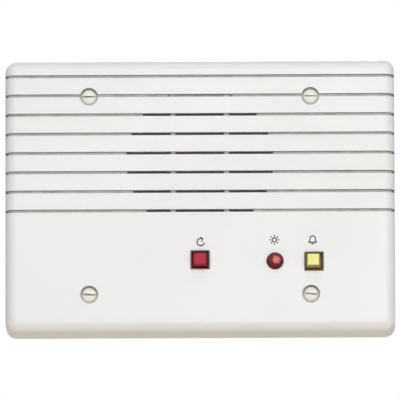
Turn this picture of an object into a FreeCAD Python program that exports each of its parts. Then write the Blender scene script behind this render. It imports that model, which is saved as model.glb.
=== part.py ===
import FreeCAD, Part
import math
import os

from FreeCAD import Vector

# Wall station with a slotted speaker grille, two push buttons and a lamp.
# Millimetres. +X right, +Y into the wall, +Z up. The wall is the plane y = 0,
# and the origin is the centre of the four mounting screws on that plane.

# Front housing
plate_width = 161.9
plate_height = 114.3
plate_depth = 19.05
plate_corner_radius = 4.5
plate_edge_radius = 4.2
front_wall = 2.8
side_wall = 2.5
cavity_corner_radius = 2.0
stiffener_thickness = 1.5
stiffener_height = 5.0
stiffener_offset = 60.0
upright_overlap = 0.5

# Grooves across the front and down both ends
groove_count = 8
groove_pitch = 8.1
groove_width = 1.25
groove_depth = 1.1
end_groove_depth = 0.9
lowest_groove_z = -6.45

# Speaker slots in the grooves
speaker_z = 14.6
slot_circle_radius = 30.6
slot_height = 0.95
blind_slot_rise = 26.0
blind_slot_wall = 1.1
slot_web_width = 2.0
slot_web_offset = 11.1

# Mounting screws, on the pattern of a three-gang electrical box
gang_pitch = 46.0375
gang_count = 3
box_screw_height = 83.34
screw_thread_radius = 1.75
screw_thread_start = -0.05
screw_neck_radius = 1.5
screw_length = 25.4
screw_head_radius = 3.2
screw_dome_height = 0.9
screw_cone_angle = 41.0
screw_slot_width = 0.85
screw_slot_depth = 1.1
screw_hole_clearance = 0.2
recess_radius = 3.75
recess_depth = 0.9
screw_boss_radius = 4.6
cone_clearance = 0.05
slot_turns = {(-1, 1): 0.0, (1, 1): 0.0, (-1, -1): 3.0, (1, -1): 6.0}

# Push buttons
button_row_gap = 7.7
reset_x = 0.0
reset_rise = 0.5
call_x = 47.3
call_rise = -0.3
call_cap_shift_x = -0.3
call_cap_shift_z = 0.25
well_width = 8.1
collar_clearance = 0.15
collar_wall = 0.3
collar_stand_out = 0.1
button_travel = 1.5
cap_clearance = 0.5
cap_face_inset = 0.7
cap_stand_out = 3.5
cap_shoulder_depth = 0.9
cap_edge_radius = 0.35
cap_face_rounding = 0.28
cap_top_thickness = 1.3
cap_wall = 0.9
cap_end_gap = 0.25
switch_shoulder = 0.7
switch_body_depth = 7.6
switch_cover_thickness = 1.2
switch_face_gap = 1.3
switch_wall = 0.8
switch_floor = 1.2
plunger_width = 3.0
plunger_clearance = 0.08
plunger_fit_gap = 0.03
flange_clearance = 0.8
flange_thickness = 0.8
flange_gap = 0.05
guide_radius = 1.2
bridge_length = 3.4
bridge_width = 1.0
bridge_thickness = 0.3
contact_pitch = 2.4
contact_radius = 0.5
contact_height = 0.4
contact_end_gap = 0.1
spring_bridge_gap = 0.43
spring_wire_radius = 0.17
spring_turns = 5

# Emergency lamp
lamp_x = 31.1
lamp_rise = -0.1
lens_radius = 3.5
lens_hole_clearance = 0.1
lens_stand_out = 2.2
lens_flange_radius = 4.4
lens_flange_thickness = 0.8
lens_barrel_length = 2.6
lens_bore_gap = 0.25
lens_collar_wall = 1.1
lens_collar_height = 2.4
retainer_thickness = 1.0
diode_radius = 2.5
diode_rim_radius = 2.9
diode_rim_thickness = 1.0
diode_height = 8.6
diode_leg_width = 0.5
diode_leg_pitch = 2.54
lens_top_thickness = 1.9

# Circuit board
board_length = 122.0
board_width = 17.0
board_drop = 0.4
board_thickness = 1.6
board_screw_inset = 3.2
post_radius = 3.0
self_tapper_radius = 1.3
self_tapper_length = 6.4
self_tapper_head_radius = 2.6
self_tapper_head_height = 1.6
self_tapper_head_rounding = 0.72
self_tapper_slot_width = 0.7
self_tapper_slot_reach = 1.56
thread_gap = 0.03
board_hole_clearance = 0.25
pin_radius = 0.3
pin_hole_gap = 0.15
pin_tail = 1.4
moulded_gap = 0.02

# Loudspeaker
cloth_thickness = 0.3
gasket_thickness = 2.2
gasket_width = 3.6
basket_radius = 33.0
basket_flange_width = 4.6
basket_metal = 0.8
basket_bowl_drop = 2.8
basket_wall_lean = 1.2
shelf_drop = 5.2
shelf_radius = 18.0
cup_radius = 16.0
cup_depth = 3.0
basket_throat_radius = 9.0
window_count = 4
window_angle = 52.0
surround_thickness = 0.3
surround_roll_radius = 1.1
surround_roll_offset = 0.2
cone_rim_lap = 0.3
cone_rim_width = 1.2
cone_depth = 3.6
cone_thickness = 0.4
former_radius = 6.55
former_thickness = 0.2
coil_thickness = 0.3
coil_gap = 0.35
coil_overhang = 0.3
cone_travel = 0.6
dust_cap_radius = 7.6
dust_cap_height = 2.2
dust_cap_thickness = 0.3
spider_waves = 5
spider_thickness = 0.3
spider_wave_height = 0.6
spider_glue_width = 1.2
top_plate_radius = 15.0
top_plate_thickness = 3.0
magnet_radius = 17.5
magnet_inner_radius = 9.0
magnet_thickness = 6.5
magnet_chamfer = 0.4
back_plate_radius = 15.5
back_plate_thickness = 2.5
back_plate_chamfer = 0.3
locating_ring_wall = 1.2
locating_ring_gap = 0.4
cloth_edge_gap = 0.2
clip_post_radius = 3.2
clip_post_gap = 0.6
clip_width = 6.2
clip_thickness = 0.8
clip_overlap = 2.0
clip_screw_length = 4.6

# Speaker terminals, leads and plug
tab_width = 16.0
tab_length = 9.0
strip_inset = 0.5
strip_magnet_gap = 0.6
strip_thickness = 1.2
lug_spacing = 7.2
lug_width = 2.4
lug_thickness = 0.4
lug_length = 8.5
lug_overhang = 3.0
rivet_radius = 0.7
rivet_head_radius = 1.1
rivet_head_height = 0.4
lead_radius = 0.65
red_lead_steps = [(0.0, 0.0, 3.3), (-6.0, 1.4, 5.3), (-13.4, 2.0, 9.7)]
red_lead_rise = 10.8
black_lead_steps = [(0.0, 0.0, 1.0), (-6.1, 1.3, -1.3), (-12.6, 2.2, 1.7), (-19.1, 1.5, 5.9)]
black_lead_rise = 8.0
header_x = -25.0
header_pin_pitch = 2.54
header_width = 6.4
header_length = 2.6
header_depth = 3.2
header_edge_inset = 0.5
header_pin_radius = 0.32
plug_width = 5.8
plug_length = 4.6
plug_depth = 2.4
plug_seat_gap = 0.05
plug_end_wall = 1.0
plug_edge_radius = 0.3

# Terminal block
terminal_count = 8
terminal_pitch = 5.08
terminal_x = -32.7
terminal_drop = 2.3
terminal_width = 8.4
terminal_depth = 10.0
terminal_floor = 0.8
terminal_roof = 4.6
terminal_chamfer = 1.2
terminal_chamber_width = 4.1
terminal_chamber_height = 4.2
wire_entry_width = 2.7
wire_entry_depth = 3.0
clamp_wall = 0.6
clamp_gap = 0.06
terminal_screw_radius = 1.25
terminal_head_radius = 1.85
terminal_head_height = 1.4
terminal_head_gap = 0.12
terminal_slot_width = 0.6
terminal_pin_width = 1.0

# Volume trimmer
trimmer_x = 39.2
trimmer_width = 9.4
trimmer_depth = 4.8
trimmer_chamfer = 0.5
rotor_radius = 3.2
rotor_thickness = 1.3
rotor_stem_radius = 1.4
rotor_stem_length = 2.2
rotor_gap = 0.07
rotor_slot_width = 0.8
rotor_slot_length = 4.8
rotor_slot_depth = 0.7
rotor_tick_length = 2.4
trimmer_leg_pitch = 2.54

# Driver chip, capacitors and resistors
chip_x = 17.6
chip_length = 19.3
chip_width = 6.35
chip_height = 3.3
chip_stand_off = 0.5
chip_legs_per_side = 7
chip_leg_pitch = 2.54
chip_row_spacing = 7.62
chip_leg_width = 0.5
chip_notch_radius = 0.8
chip_notch_depth = 0.4
chip_chamfer = 0.3
capacitor_x = [-7.3, 5.2, 53.7]
capacitor_rise = [-3.3, -5.1, -0.9]
capacitor_radius = [4.0, 2.5, 2.5]
capacitor_height = [8.0, 7.0, 7.0]
capacitor_leg_pitch = 2.5
capacitor_stand_off = 0.3
capacitor_groove_depth = 0.3
capacitor_groove_width = 0.6
capacitor_groove_place = 1.0
capacitor_edge_radius = 0.5
resistor_edge_inset = 2.0
upper_resistor_x = [8.0, 20.0, 32.0, 44.0]
lower_resistor_x = [14.0, 26.0, 38.0]
resistor_radius = 1.15
resistor_waist_radius = 0.94
resistor_cap_length = 1.26
resistor_length = 6.3
resistor_span = 10.16
resistor_lead_radius = 0.3
resistor_stand_off = 0.25

# Planes along the depth, from the wall towards the viewer
face_y = -plate_depth
inner_face_y = face_y + front_wall
cover_front_y = inner_face_y + switch_face_gap
cover_rear_y = cover_front_y + switch_cover_thickness
board_front_y = cover_rear_y + switch_body_depth
board_rear_y = board_front_y + board_thickness
recess_floor_y = face_y + recess_depth
cloth_rear_y = inner_face_y + cloth_thickness
gasket_rear_y = cloth_rear_y + gasket_thickness
flange_front_y = gasket_rear_y + surround_thickness
flange_rear_y = flange_front_y + basket_metal
shelf_front_y = flange_front_y + shelf_drop
cup_rear_y = shelf_front_y + cup_depth + basket_metal
top_plate_rear_y = cup_rear_y + top_plate_thickness
magnet_rear_y = top_plate_rear_y + magnet_thickness
switch_floor_y = board_front_y - switch_floor

# Places and sizes that follow from the ones above
ring_inner_radius = basket_radius + locating_ring_gap
ring_outer_radius = ring_inner_radius + locating_ring_wall
button_row_z = speaker_z - ring_outer_radius - button_row_gap
reset_z = button_row_z + reset_rise
call_z = button_row_z + call_rise
lamp_z = button_row_z + lamp_rise
collar_width = well_width - 2 * collar_clearance
switch_width = collar_width + 2 * switch_shoulder
cap_base_width = collar_width - 2 * collar_wall - 2 * cap_clearance
cap_face_width = cap_base_width - 2 * cap_face_inset
flange_width = switch_width - 2 * switch_wall - 2 * flange_clearance
spring_radius = bridge_length / 2 + spring_bridge_gap + spring_wire_radius
board_z = button_row_z - board_drop
board_top_z = board_z + board_width / 2
board_bottom_z = board_z - board_width / 2
board_screw_x = board_length / 2 - board_screw_inset
board_screw_levels = (board_bottom_z + board_screw_inset, board_top_z - board_screw_inset)
board_screw_places = [(side * board_screw_x, z) for side in (-1, 1) for z in board_screw_levels]
terminal_z = board_z - terminal_drop
resistor_rows = {
    board_top_z - resistor_edge_inset: upper_resistor_x,
    board_bottom_z + resistor_edge_inset: lower_resistor_x,
}
screw_x = gang_pitch * (gang_count - 1) / 2
screw_z = box_screw_height / 2
screw_corners = [(side, level) for level in (1, -1) for side in (-1, 1)]
basket_opening_radius = basket_radius - basket_flange_width
cone_rim_radius = basket_opening_radius - 2 * surround_roll_radius + cone_rim_lap
pole_radius = former_radius - former_thickness - coil_gap
coil_radius = former_radius + coil_thickness
top_plate_bore_radius = coil_radius + coil_gap
clip_post_distance = ring_inner_radius + clip_post_gap + clip_post_radius
clip_angles = [45.0, 135.0, 225.0, 315.0]
strip_low_z = speaker_z - cup_radius - tab_length + strip_inset
strip_high_z = speaker_z - magnet_radius - strip_magnet_gap
lug_low_z = strip_low_z - lug_overhang
lug_rear_y = cup_rear_y + strip_thickness + lug_thickness


# Shape helpers


def span(centre, width):
    return (centre - width / 2, centre + width / 2)


def block(x_range, y_range, z_range):
    corner = Vector(x_range[0], y_range[0], z_range[0])
    sides = [high - low for low, high in (x_range, y_range, z_range)]
    return Part.makeBox(*sides, corner)


def square_bar(width, y_range, x=0.0, z=0.0):
    return block(span(x, width), y_range, span(z, width))


def rod(radius, y_range, x=0.0, z=0.0):
    return Part.makeCylinder(radius, y_range[1] - y_range[0], Vector(x, y_range[0], z), Vector(0, 1, 0))


def ring(outer, inner, y_range, x=0.0, z=0.0):
    return rod(outer, y_range, x, z).cut(rod(inner, y_range, x, z))


def taper(front_radius, rear_radius, y_range, x=0.0, z=0.0):
    length = y_range[1] - y_range[0]
    return Part.makeCone(front_radius, rear_radius, length, Vector(x, y_range[0], z), Vector(0, 1, 0))


def arc_through(start, middle, end):
    return Part.Arc(Vector(*start, 0), Vector(*middle, 0), Vector(*end, 0)).toShape()


def line_to(start, end):
    return Part.makeLine(Vector(*start, 0), Vector(*end, 0))


def polygon_edges(points):
    return [line_to(points[i], points[(i + 1) % len(points)]) for i in range(len(points))]


def turned(edges, x=0.0, z=0.0):
    # Edges close a profile of (radius, y) points, which turns about an axis along Y.
    face = Part.Face(Part.Wire(Part.__sortEdges__(edges)))
    solid = face.revolve(Vector(0, 0, 0), Vector(0, 1, 0), 360)
    solid.translate(Vector(x, 0, z))
    return solid


def rounded_outline(width, height, radius, y):
    half_w = width / 2
    half_h = height / 2
    bend = radius * (1 - math.sqrt(0.5))
    edges = []
    corners = [(1, 1), (-1, 1), (-1, -1), (1, -1)]
    for index, (sx, sz) in enumerate(corners):
        beside = Vector(sx * half_w, y, sz * (half_h - radius))
        middle = Vector(sx * (half_w - bend), y, sz * (half_h - bend))
        above = Vector(sx * (half_w - radius), y, sz * half_h)
        first, last = (beside, above) if sx == sz else (above, beside)
        edges.append(Part.Arc(first, middle, last).toShape())
        next_sx, next_sz = corners[(index + 1) % 4]
        if sx == sz:
            start, end = above, Vector(next_sx * (half_w - radius), y, next_sz * half_h)
        else:
            start, end = beside, Vector(next_sx * half_w, y, next_sz * (half_h - radius))
        edges.append(Part.makeLine(start, end))
    return Part.Wire(edges)


def rounded_slab(width, height, radius, y_range, x=0.0, z=0.0):
    face = Part.Face(rounded_outline(width, height, radius, y_range[0]))
    slab = face.extrude(Vector(0, y_range[1] - y_range[0], 0))
    slab.translate(Vector(x, 0, z))
    return slab


def edges_at(shape, y):
    return [edge for edge in shape.Edges if all(abs(vertex.Y - y) < 1e-6 for vertex in edge.Vertexes)]


def joined(shapes):
    first, *rest = shapes
    return first.multiFuse(rest).removeSplitter() if rest else first


def group(shapes):
    return Part.makeCompound(shapes)


def at_angle(shape, angle, x=0.0, z=0.0):
    # Turns a shape about an axis along Y through (x, z).
    moved = shape.copy()
    moved.rotate(Vector(x, 0, z), Vector(0, 1, 0), -angle)
    return moved


def helix_wire(radius, pitch, turns, start_y, x, z):
    # Half turns, each as two arcs that meet smoothly.
    rise = pitch / (2 * math.pi)

    def point(angle):
        return Vector(x + radius * math.cos(angle), start_y + rise * angle, z + radius * math.sin(angle))

    def heading(angle):
        return Vector(-radius * math.sin(angle), rise, radius * math.cos(angle)).normalize()

    edges = []
    quarters = int(round(turns * 4))
    for index in range(quarters):
        low = index * math.pi / 2
        high = low + math.pi / 2
        start, end = point(low), point(high)
        start_way, end_way = heading(low), heading(high)
        chord = end - start
        ways = start_way + end_way
        a = ways.dot(ways) - 4
        b = -2 * chord.dot(ways)
        c = chord.dot(chord)
        reach = (-b - math.sqrt(b * b - 4 * a * c)) / (2 * a)
        first_corner = start + start_way * reach
        last_corner = end - end_way * reach
        meeting = (first_corner + last_corner) * 0.5
        edges.append(corner_arc(start, first_corner, meeting))
        edges.append(corner_arc(meeting, last_corner, end))
    return Part.Wire(edges)


def corner_arc(start, corner, end):
    # The arc that leaves start towards corner and reaches end from corner.
    half_chord = (end - start).Length / 2
    weight = half_chord / (corner - start).Length
    middle = (start + end + corner * (2 * weight)) * (1 / (2 + 2 * weight))
    return Part.Arc(start, middle, end).toShape()


def pipe(wire, radius):
    start = wire.Edges[0].valueAt(wire.Edges[0].FirstParameter)
    way = wire.Edges[0].tangentAt(wire.Edges[0].FirstParameter)
    section = Part.Wire(Part.makeCircle(radius, start, way))
    return wire.makePipeShell([section], True, False)


def routed_wire(points):
    # Straight runs joined by tangent arcs, each as large as its two runs allow.
    corners = [Vector(*p) for p in points]
    edges = []
    radii = []
    last = corners[0]
    for before, here, after in zip(corners, corners[1:], corners[2:]):
        way_in = (here - before).normalize()
        way_out = (after - here).normalize()
        half_turn = way_in.getAngle(way_out) / 2
        cut_back = 0.45 * min((here - before).Length, (after - here).Length)
        radii.append(round(cut_back / math.tan(half_turn), 1))
        arc_start = here - way_in * cut_back
        arc_end = here + way_out * cut_back
        edges.append(Part.makeLine(last, arc_start))
        edges.append(corner_arc(arc_start, here, arc_end))
        last = arc_end
    edges.append(Part.makeLine(last, corners[-1]))
    return Part.Wire(edges), radii


# Front housing


def groove_levels():
    return [lowest_groove_z + index * groove_pitch for index in range(groove_count)]


def groove_floor_form():
    inner_edge = plate_edge_radius - end_groove_depth
    form = rounded_slab(
        plate_width - 2 * end_groove_depth,
        plate_height + 4 * plate_edge_radius,
        plate_corner_radius,
        (face_y + groove_depth, 0.0),
    )
    return form.makeFillet(inner_edge, edges_at(form, face_y + groove_depth))


def groove_cutters():
    floor = groove_floor_form()
    for side, level in screw_corners:
        island = rod(recess_radius, (face_y, inner_face_y), side * screw_x, level * screw_z)
        floor = floor.fuse(island)
    reach = (face_y - 1.0, 1.0)
    full = span(0.0, plate_width + 2.0)
    return [block(full, reach, span(z, groove_width)).cut(floor) for z in groove_levels()]


def slot_cutters():
    # The slots go through the wall, apart from the highest ones, which stop short of it.
    cutters = []
    for z in groove_levels():
        rise = z - speaker_z
        slot_end_y = inner_face_y - blind_slot_wall if abs(rise) > blind_slot_rise else inner_face_y + 1.0
        if abs(rise) >= slot_circle_radius:
            continue
        half = math.sqrt(slot_circle_radius**2 - rise**2)
        webs = [sign * slot_web_offset + edge * slot_web_width / 2 for sign in (-1, 1) for edge in (-1, 1)]
        stops = [-half, *webs, half]
        for left, right in zip(stops[::2], stops[1::2]):
            if right > left:
                cutters.append(block((left, right), (face_y - 1.0, slot_end_y), span(z, slot_height)))
    return cutters


def screw_cone_end_y():
    slope = math.tan(math.radians(screw_cone_angle))
    return recess_floor_y + (screw_head_radius - screw_neck_radius) / slope


def mounting_screw_cutters(x, z):
    hole_radius = screw_thread_radius + screw_hole_clearance
    seat_front = screw_head_radius + cone_clearance
    seat_rear = screw_neck_radius + cone_clearance
    return [
        rod(recess_radius, (face_y - 1.0, recess_floor_y), x, z),
        taper(seat_front, seat_rear, (recess_floor_y, screw_cone_end_y()), x, z),
        rod(hole_radius, (recess_floor_y, 1.0), x, z),
    ]


def housing_posts():
    full_depth = (inner_face_y, 0.0)
    posts = [rod(screw_boss_radius, full_depth, sx * screw_x, sz * screw_z) for sx, sz in screw_corners]
    posts += [rod(post_radius, (inner_face_y, board_front_y), x, z) for x, z in board_screw_places]
    for angle in clip_angles:
        x, z = clip_place(angle)
        posts.append(rod(clip_post_radius, (inner_face_y, flange_rear_y), x, z))
    ring_y = (inner_face_y, gasket_rear_y - locating_ring_gap)
    posts.append(ring(ring_outer_radius, ring_inner_radius, ring_y, 0.0, speaker_z))
    collar_inner = lens_flange_radius + lens_hole_clearance
    collar_range = (inner_face_y, inner_face_y + lens_collar_height)
    posts.append(ring(collar_inner + lens_collar_wall, collar_inner, collar_range, lamp_x, lamp_z))
    return posts


def housing_stiffeners():
    ribs = []
    depth = (inner_face_y, inner_face_y + stiffener_height)
    top = plate_height / 2 - side_wall
    end = plate_width / 2 - side_wall
    shelf_z = board_top_z + 2 * post_radius / 3
    for side in (-1, 1):
        ribs.append(block(span(side * stiffener_offset, stiffener_thickness), depth, (shelf_z, top)))
        outer = sorted((side * stiffener_offset, side * end))
        ribs.append(block(outer, depth, span(shelf_z, stiffener_thickness)))
    for sx, sz in screw_corners:
        upright = sorted((sz * (screw_z + screw_boss_radius - upright_overlap), sz * top))
        thickness = span(sx * screw_x, stiffener_thickness)
        ribs.append(block(thickness, (inner_face_y, -stiffener_height), upright))
    return ribs


def clip_place(angle):
    turn = math.radians(angle)
    return clip_post_distance * math.cos(turn), speaker_z + clip_post_distance * math.sin(turn)


def self_tapper_bore(x, z, mouth_y, length):
    return rod(self_tapper_radius + thread_gap, (mouth_y - length - 2 * thread_gap, mouth_y), x, z)


def front_housing():
    shell = rounded_slab(plate_width, plate_height, plate_corner_radius, (face_y, 0.0))
    shell = shell.makeFillet(plate_edge_radius, edges_at(shell, face_y))
    hollow = rounded_slab(
        plate_width - 2 * side_wall,
        plate_height - 2 * side_wall,
        cavity_corner_radius,
        (inner_face_y, 1.0),
    )
    body = shell.cut(hollow).multiFuse(housing_posts() + housing_stiffeners())
    cutters = groove_cutters() + slot_cutters()
    for side, level in screw_corners:
        cutters += mounting_screw_cutters(side * screw_x, level * screw_z)
    through = (face_y - 1.0, inner_face_y + 1.0)
    for x, z in ((reset_x, reset_z), (call_x, call_z)):
        cutters.append(square_bar(well_width, through, x, z))
    cutters.append(rod(lens_radius + lens_hole_clearance, through, lamp_x, lamp_z))
    board_grip = self_tapper_length - board_thickness
    for x, z in board_screw_places:
        cutters.append(self_tapper_bore(x, z, board_front_y, board_grip))
    clip_grip = clip_screw_length - clip_thickness
    for angle in clip_angles:
        cutters.append(self_tapper_bore(*clip_place(angle), flange_rear_y, clip_grip))
    return body.cut(cutters)


# Screws


def mounting_screw(x, z, turn):
    # The neck is slimmer than the thread, which starts where the screw leaves the housing.
    dome_radius = (screw_head_radius**2 + screw_dome_height**2) / (2 * screw_dome_height)
    ball = Part.makeSphere(dome_radius, Vector(x, recess_floor_y - screw_dome_height + dome_radius, z))
    dome = ball.common(rod(screw_head_radius, (recess_floor_y - screw_dome_height, recess_floor_y), x, z))
    cone = taper(screw_head_radius, screw_neck_radius, (recess_floor_y, screw_cone_end_y()), x, z)
    neck = rod(screw_neck_radius, (screw_cone_end_y(), screw_thread_start), x, z)
    thread = rod(screw_thread_radius, (screw_thread_start, recess_floor_y + screw_length), x, z)
    slot_floor = recess_floor_y - screw_dome_height + screw_slot_depth
    slot = block(span(x, 3 * screw_head_radius), (face_y - 1.0, slot_floor), span(z, screw_slot_width))
    return joined([dome, cone, neck, thread]).cut(at_angle(slot, -turn, x, z))


def mounting_screws():
    places = [(sx * screw_x, sz * screw_z, slot_turns[sx, sz]) for sx, sz in screw_corners]
    return group([mounting_screw(x, z, turn) for x, z, turn in places])


def pan_screw(x, z, seat_y, length):
    head = rod(self_tapper_head_radius, (seat_y, seat_y + self_tapper_head_height), x, z)
    head = head.makeFillet(self_tapper_head_rounding, edges_at(head, seat_y + self_tapper_head_height))
    shank = rod(self_tapper_radius, (seat_y - length, seat_y), x, z)
    screw = joined([head, shank])
    top = seat_y + self_tapper_head_height
    recess = (top - self_tapper_head_height / 2, top + 1.0)
    for along_x in (True, False):
        wide = span(x, 2 * self_tapper_slot_reach if along_x else self_tapper_slot_width)
        tall = span(z, self_tapper_slot_width if along_x else 2 * self_tapper_slot_reach)
        screw = screw.cut(block(wide, recess, tall))
    return screw


def board_screws():
    return group([pan_screw(x, z, board_rear_y, self_tapper_length) for x, z in board_screw_places])


# Loudspeaker


def grille_cloth():
    return rod(basket_radius - cloth_edge_gap, (inner_face_y, cloth_rear_y), 0.0, speaker_z)


def speaker_gasket():
    inner = basket_radius - gasket_width
    return ring(basket_radius - cloth_edge_gap, inner, (cloth_rear_y, gasket_rear_y), 0.0, speaker_z)


def basket_profile():
    wall_top = basket_opening_radius - basket_wall_lean
    bowl_y = flange_front_y + basket_bowl_drop
    shelf_rear_y = shelf_front_y + basket_metal
    cup_front_y = cup_rear_y - basket_metal
    return [
        (basket_radius, flange_front_y),
        (basket_radius, flange_rear_y),
        (basket_opening_radius + basket_metal, flange_rear_y),
        (wall_top + basket_metal, bowl_y + basket_metal),
        (shelf_radius + basket_metal / 2, shelf_rear_y),
        (cup_radius, shelf_rear_y),
        (cup_radius, cup_rear_y),
        (basket_throat_radius, cup_rear_y),
        (basket_throat_radius, cup_front_y),
        (cup_radius - basket_metal, cup_front_y),
        (cup_radius - basket_metal, shelf_front_y),
        (shelf_radius, shelf_front_y),
        (wall_top, bowl_y),
        (basket_opening_radius, flange_front_y),
    ]


def basket_window(angle):
    inner = shelf_radius + 1.5 * basket_metal
    outer = basket_opening_radius - basket_wall_lean - basket_metal
    depth = (flange_rear_y, cup_rear_y)
    reach = depth[1] - depth[0]
    sector = Part.makeCylinder(outer, reach, Vector(0, 0, 0), Vector(0, 0, 1), window_angle)
    core = Part.makeCylinder(inner, reach, Vector(0, 0, 0), Vector(0, 0, 1), window_angle)
    cutter = sector.cut(core)
    cutter.rotate(Vector(0, 0, 0), Vector(0, 0, 1), angle - window_angle / 2)
    cutter.rotate(Vector(0, 0, 0), Vector(1, 0, 0), -90)
    cutter.translate(Vector(0, depth[0], speaker_z))
    return cutter


def speaker_basket():
    shell = turned(polygon_edges(basket_profile()), 0.0, speaker_z)
    tab_top = speaker_z - cup_radius + basket_metal
    tab_bottom = speaker_z - cup_radius - tab_length
    tab = block(span(0.0, tab_width), (cup_rear_y - basket_metal, cup_rear_y), (tab_bottom, tab_top))
    windows = [basket_window(360.0 * index / window_count) for index in range(window_count)]
    return joined([shell.cut(windows), tab]).cut(rivet_holes())


def surround_edges(shift):
    # Flat outer ring under the gasket, half roll, and a flat ring glued to the cone's rim.
    level = gasket_rear_y + shift
    roll_outer = basket_opening_radius + surround_roll_offset
    roll_inner = roll_outer - 2 * surround_roll_radius
    crest = ((roll_outer + roll_inner) / 2, level - surround_roll_radius)
    return [
        line_to((basket_radius - cloth_edge_gap, level), (roll_outer, level)),
        arc_through((roll_outer, level), crest, (roll_inner, level)),
        line_to((roll_inner, level), (cone_rim_radius - cone_rim_width, level)),
    ]


def speaker_surround():
    outer = basket_radius - cloth_edge_gap
    inner = cone_rim_radius - cone_rim_width
    ends = [
        line_to((outer, gasket_rear_y), (outer, flange_front_y)),
        line_to((inner, gasket_rear_y), (inner, flange_front_y)),
    ]
    return turned(surround_edges(0.0) + surround_edges(surround_thickness) + ends, 0.0, speaker_z)


def cone_front_y(radius):
    inner = former_radius + cone_thickness
    outer = cone_rim_radius - cone_rim_width
    neck_y = flange_front_y + cone_depth
    return neck_y - cone_depth * (radius - inner) / (outer - inner)


def speaker_cone():
    inner = former_radius + moulded_gap
    rim_inner = cone_rim_radius - cone_rim_width
    profile = [
        (inner, cone_front_y(inner)),
        (rim_inner, flange_front_y),
        (cone_rim_radius, flange_front_y),
        (cone_rim_radius, flange_front_y + cone_thickness),
        (rim_inner, flange_front_y + cone_thickness),
        (inner, cone_front_y(inner) + cone_thickness),
    ]
    return turned(polygon_edges(profile), 0.0, speaker_z)


def speaker_dust_cap():
    base_y = cone_front_y(dust_cap_radius) - moulded_gap
    tip_y = base_y - dust_cap_height
    rounding = (dust_cap_radius**2 + dust_cap_height**2) / (2 * dust_cap_height)
    outer = Part.makeSphere(rounding, Vector(0, tip_y + rounding, speaker_z))
    inner = Part.makeSphere(rounding, Vector(0, tip_y + rounding + dust_cap_thickness, speaker_z))
    return outer.common(rod(dust_cap_radius, (tip_y, base_y), 0.0, speaker_z)).cut(inner)


def voice_coil():
    front = cone_front_y(former_radius)
    winding_front = cup_rear_y - coil_overhang
    winding_rear = top_plate_rear_y + coil_overhang
    former = ring(former_radius, former_radius - former_thickness, (front, winding_rear), 0.0, speaker_z)
    winding = ring(coil_radius, former_radius, (winding_front, winding_rear), 0.0, speaker_z)
    return joined([former, winding])


def spider_edges(level):
    inner = former_radius + moulded_gap
    outer = shelf_radius - moulded_gap
    glue_inner = outer - spider_glue_width - (shelf_radius - cup_radius) / 2
    width = (glue_inner - inner) / spider_waves
    edges = [line_to((outer, level), (glue_inner, level))]
    for index in range(spider_waves):
        right = glue_inner - index * width
        side = -1 if index % 2 == 0 else 1
        crest = (right - width / 2, level + side * spider_wave_height)
        edges.append(arc_through((right, level), crest, (right - width, level)))
    return edges


def speaker_spider():
    front = shelf_front_y - spider_thickness
    inner = former_radius + moulded_gap
    outer = shelf_radius - moulded_gap
    ends = [line_to((inner, front), (inner, shelf_front_y)), line_to((outer, front), (outer, shelf_front_y))]
    return turned(spider_edges(front) + spider_edges(shelf_front_y) + ends, 0.0, speaker_z)


def speaker_top_plate():
    return ring(top_plate_radius, top_plate_bore_radius, (cup_rear_y, top_plate_rear_y), 0.0, speaker_z)


def speaker_magnet():
    body = ring(magnet_radius, magnet_inner_radius, (top_plate_rear_y, magnet_rear_y), 0.0, speaker_z)
    rims = [edge for edge in body.Edges if abs(edge.BoundBox.XLength - 2 * magnet_radius) < 0.01]
    return body.makeChamfer(magnet_chamfer, rims)


def speaker_pole_piece():
    rear = magnet_rear_y + back_plate_thickness
    plate = rod(back_plate_radius, (magnet_rear_y, rear), 0.0, speaker_z)
    plate = plate.makeChamfer(back_plate_chamfer, edges_at(plate, rear))
    return joined([plate, rod(pole_radius, (cup_rear_y, magnet_rear_y), 0.0, speaker_z)])


def clip_plate(angle):
    inner = basket_radius - clip_overlap
    outer = clip_post_distance + clip_post_radius
    plate = block((inner, outer), (flange_rear_y, flange_rear_y + clip_thickness), span(0.0, clip_width))
    through = (flange_rear_y - 1.0, flange_rear_y + clip_thickness + 1.0)
    hole = rod(self_tapper_radius + board_hole_clearance, through, clip_post_distance)
    placed = at_angle(plate.cut(hole), angle)
    placed.translate(Vector(0, 0, speaker_z))
    return placed


def speaker_clips():
    return group([clip_plate(angle) for angle in clip_angles])


def speaker_clip_screws():
    seat = flange_rear_y + clip_thickness
    return group([pan_screw(*clip_place(angle), seat, clip_screw_length) for angle in clip_angles])


# Speaker terminals and leads


def lug_places():
    return [-lug_spacing / 2, lug_spacing / 2]


def rivet_z():
    return (strip_low_z + strip_high_z) / 2


def rivet_holes():
    through = (cup_rear_y - 2 * basket_metal, lug_rear_y)
    return [rod(rivet_radius + moulded_gap, through, x, rivet_z()) for x in lug_places()]


def speaker_terminal_strip():
    strip = block(
        span(0.0, tab_width - 2 * strip_inset),
        (cup_rear_y, cup_rear_y + strip_thickness),
        (strip_low_z, strip_high_z),
    )
    return strip.cut(rivet_holes())


def speaker_lug(x):
    plate = block(
        span(x, lug_width),
        (lug_rear_y - lug_thickness, lug_rear_y),
        (lug_low_z, lug_low_z + lug_length),
    )
    rivet = rod(rivet_radius, (cup_rear_y - basket_metal, lug_rear_y), x, rivet_z())
    head = rod(rivet_head_radius, (lug_rear_y, lug_rear_y + rivet_head_height), x, rivet_z())
    return joined([plate, rivet, head])


def speaker_lugs():
    return group([speaker_lug(x) for x in lug_places()])


def header_z():
    return board_top_z - header_edge_inset - header_depth / 2


def header_pins_x():
    return [header_x - header_pin_pitch / 2, header_x + header_pin_pitch / 2]


def header_pin_y():
    return board_rear_y + header_length / 2


def plug_range_z():
    low = header_z() + header_depth / 2 + plug_seat_gap
    return (low, low + plug_length)


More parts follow.
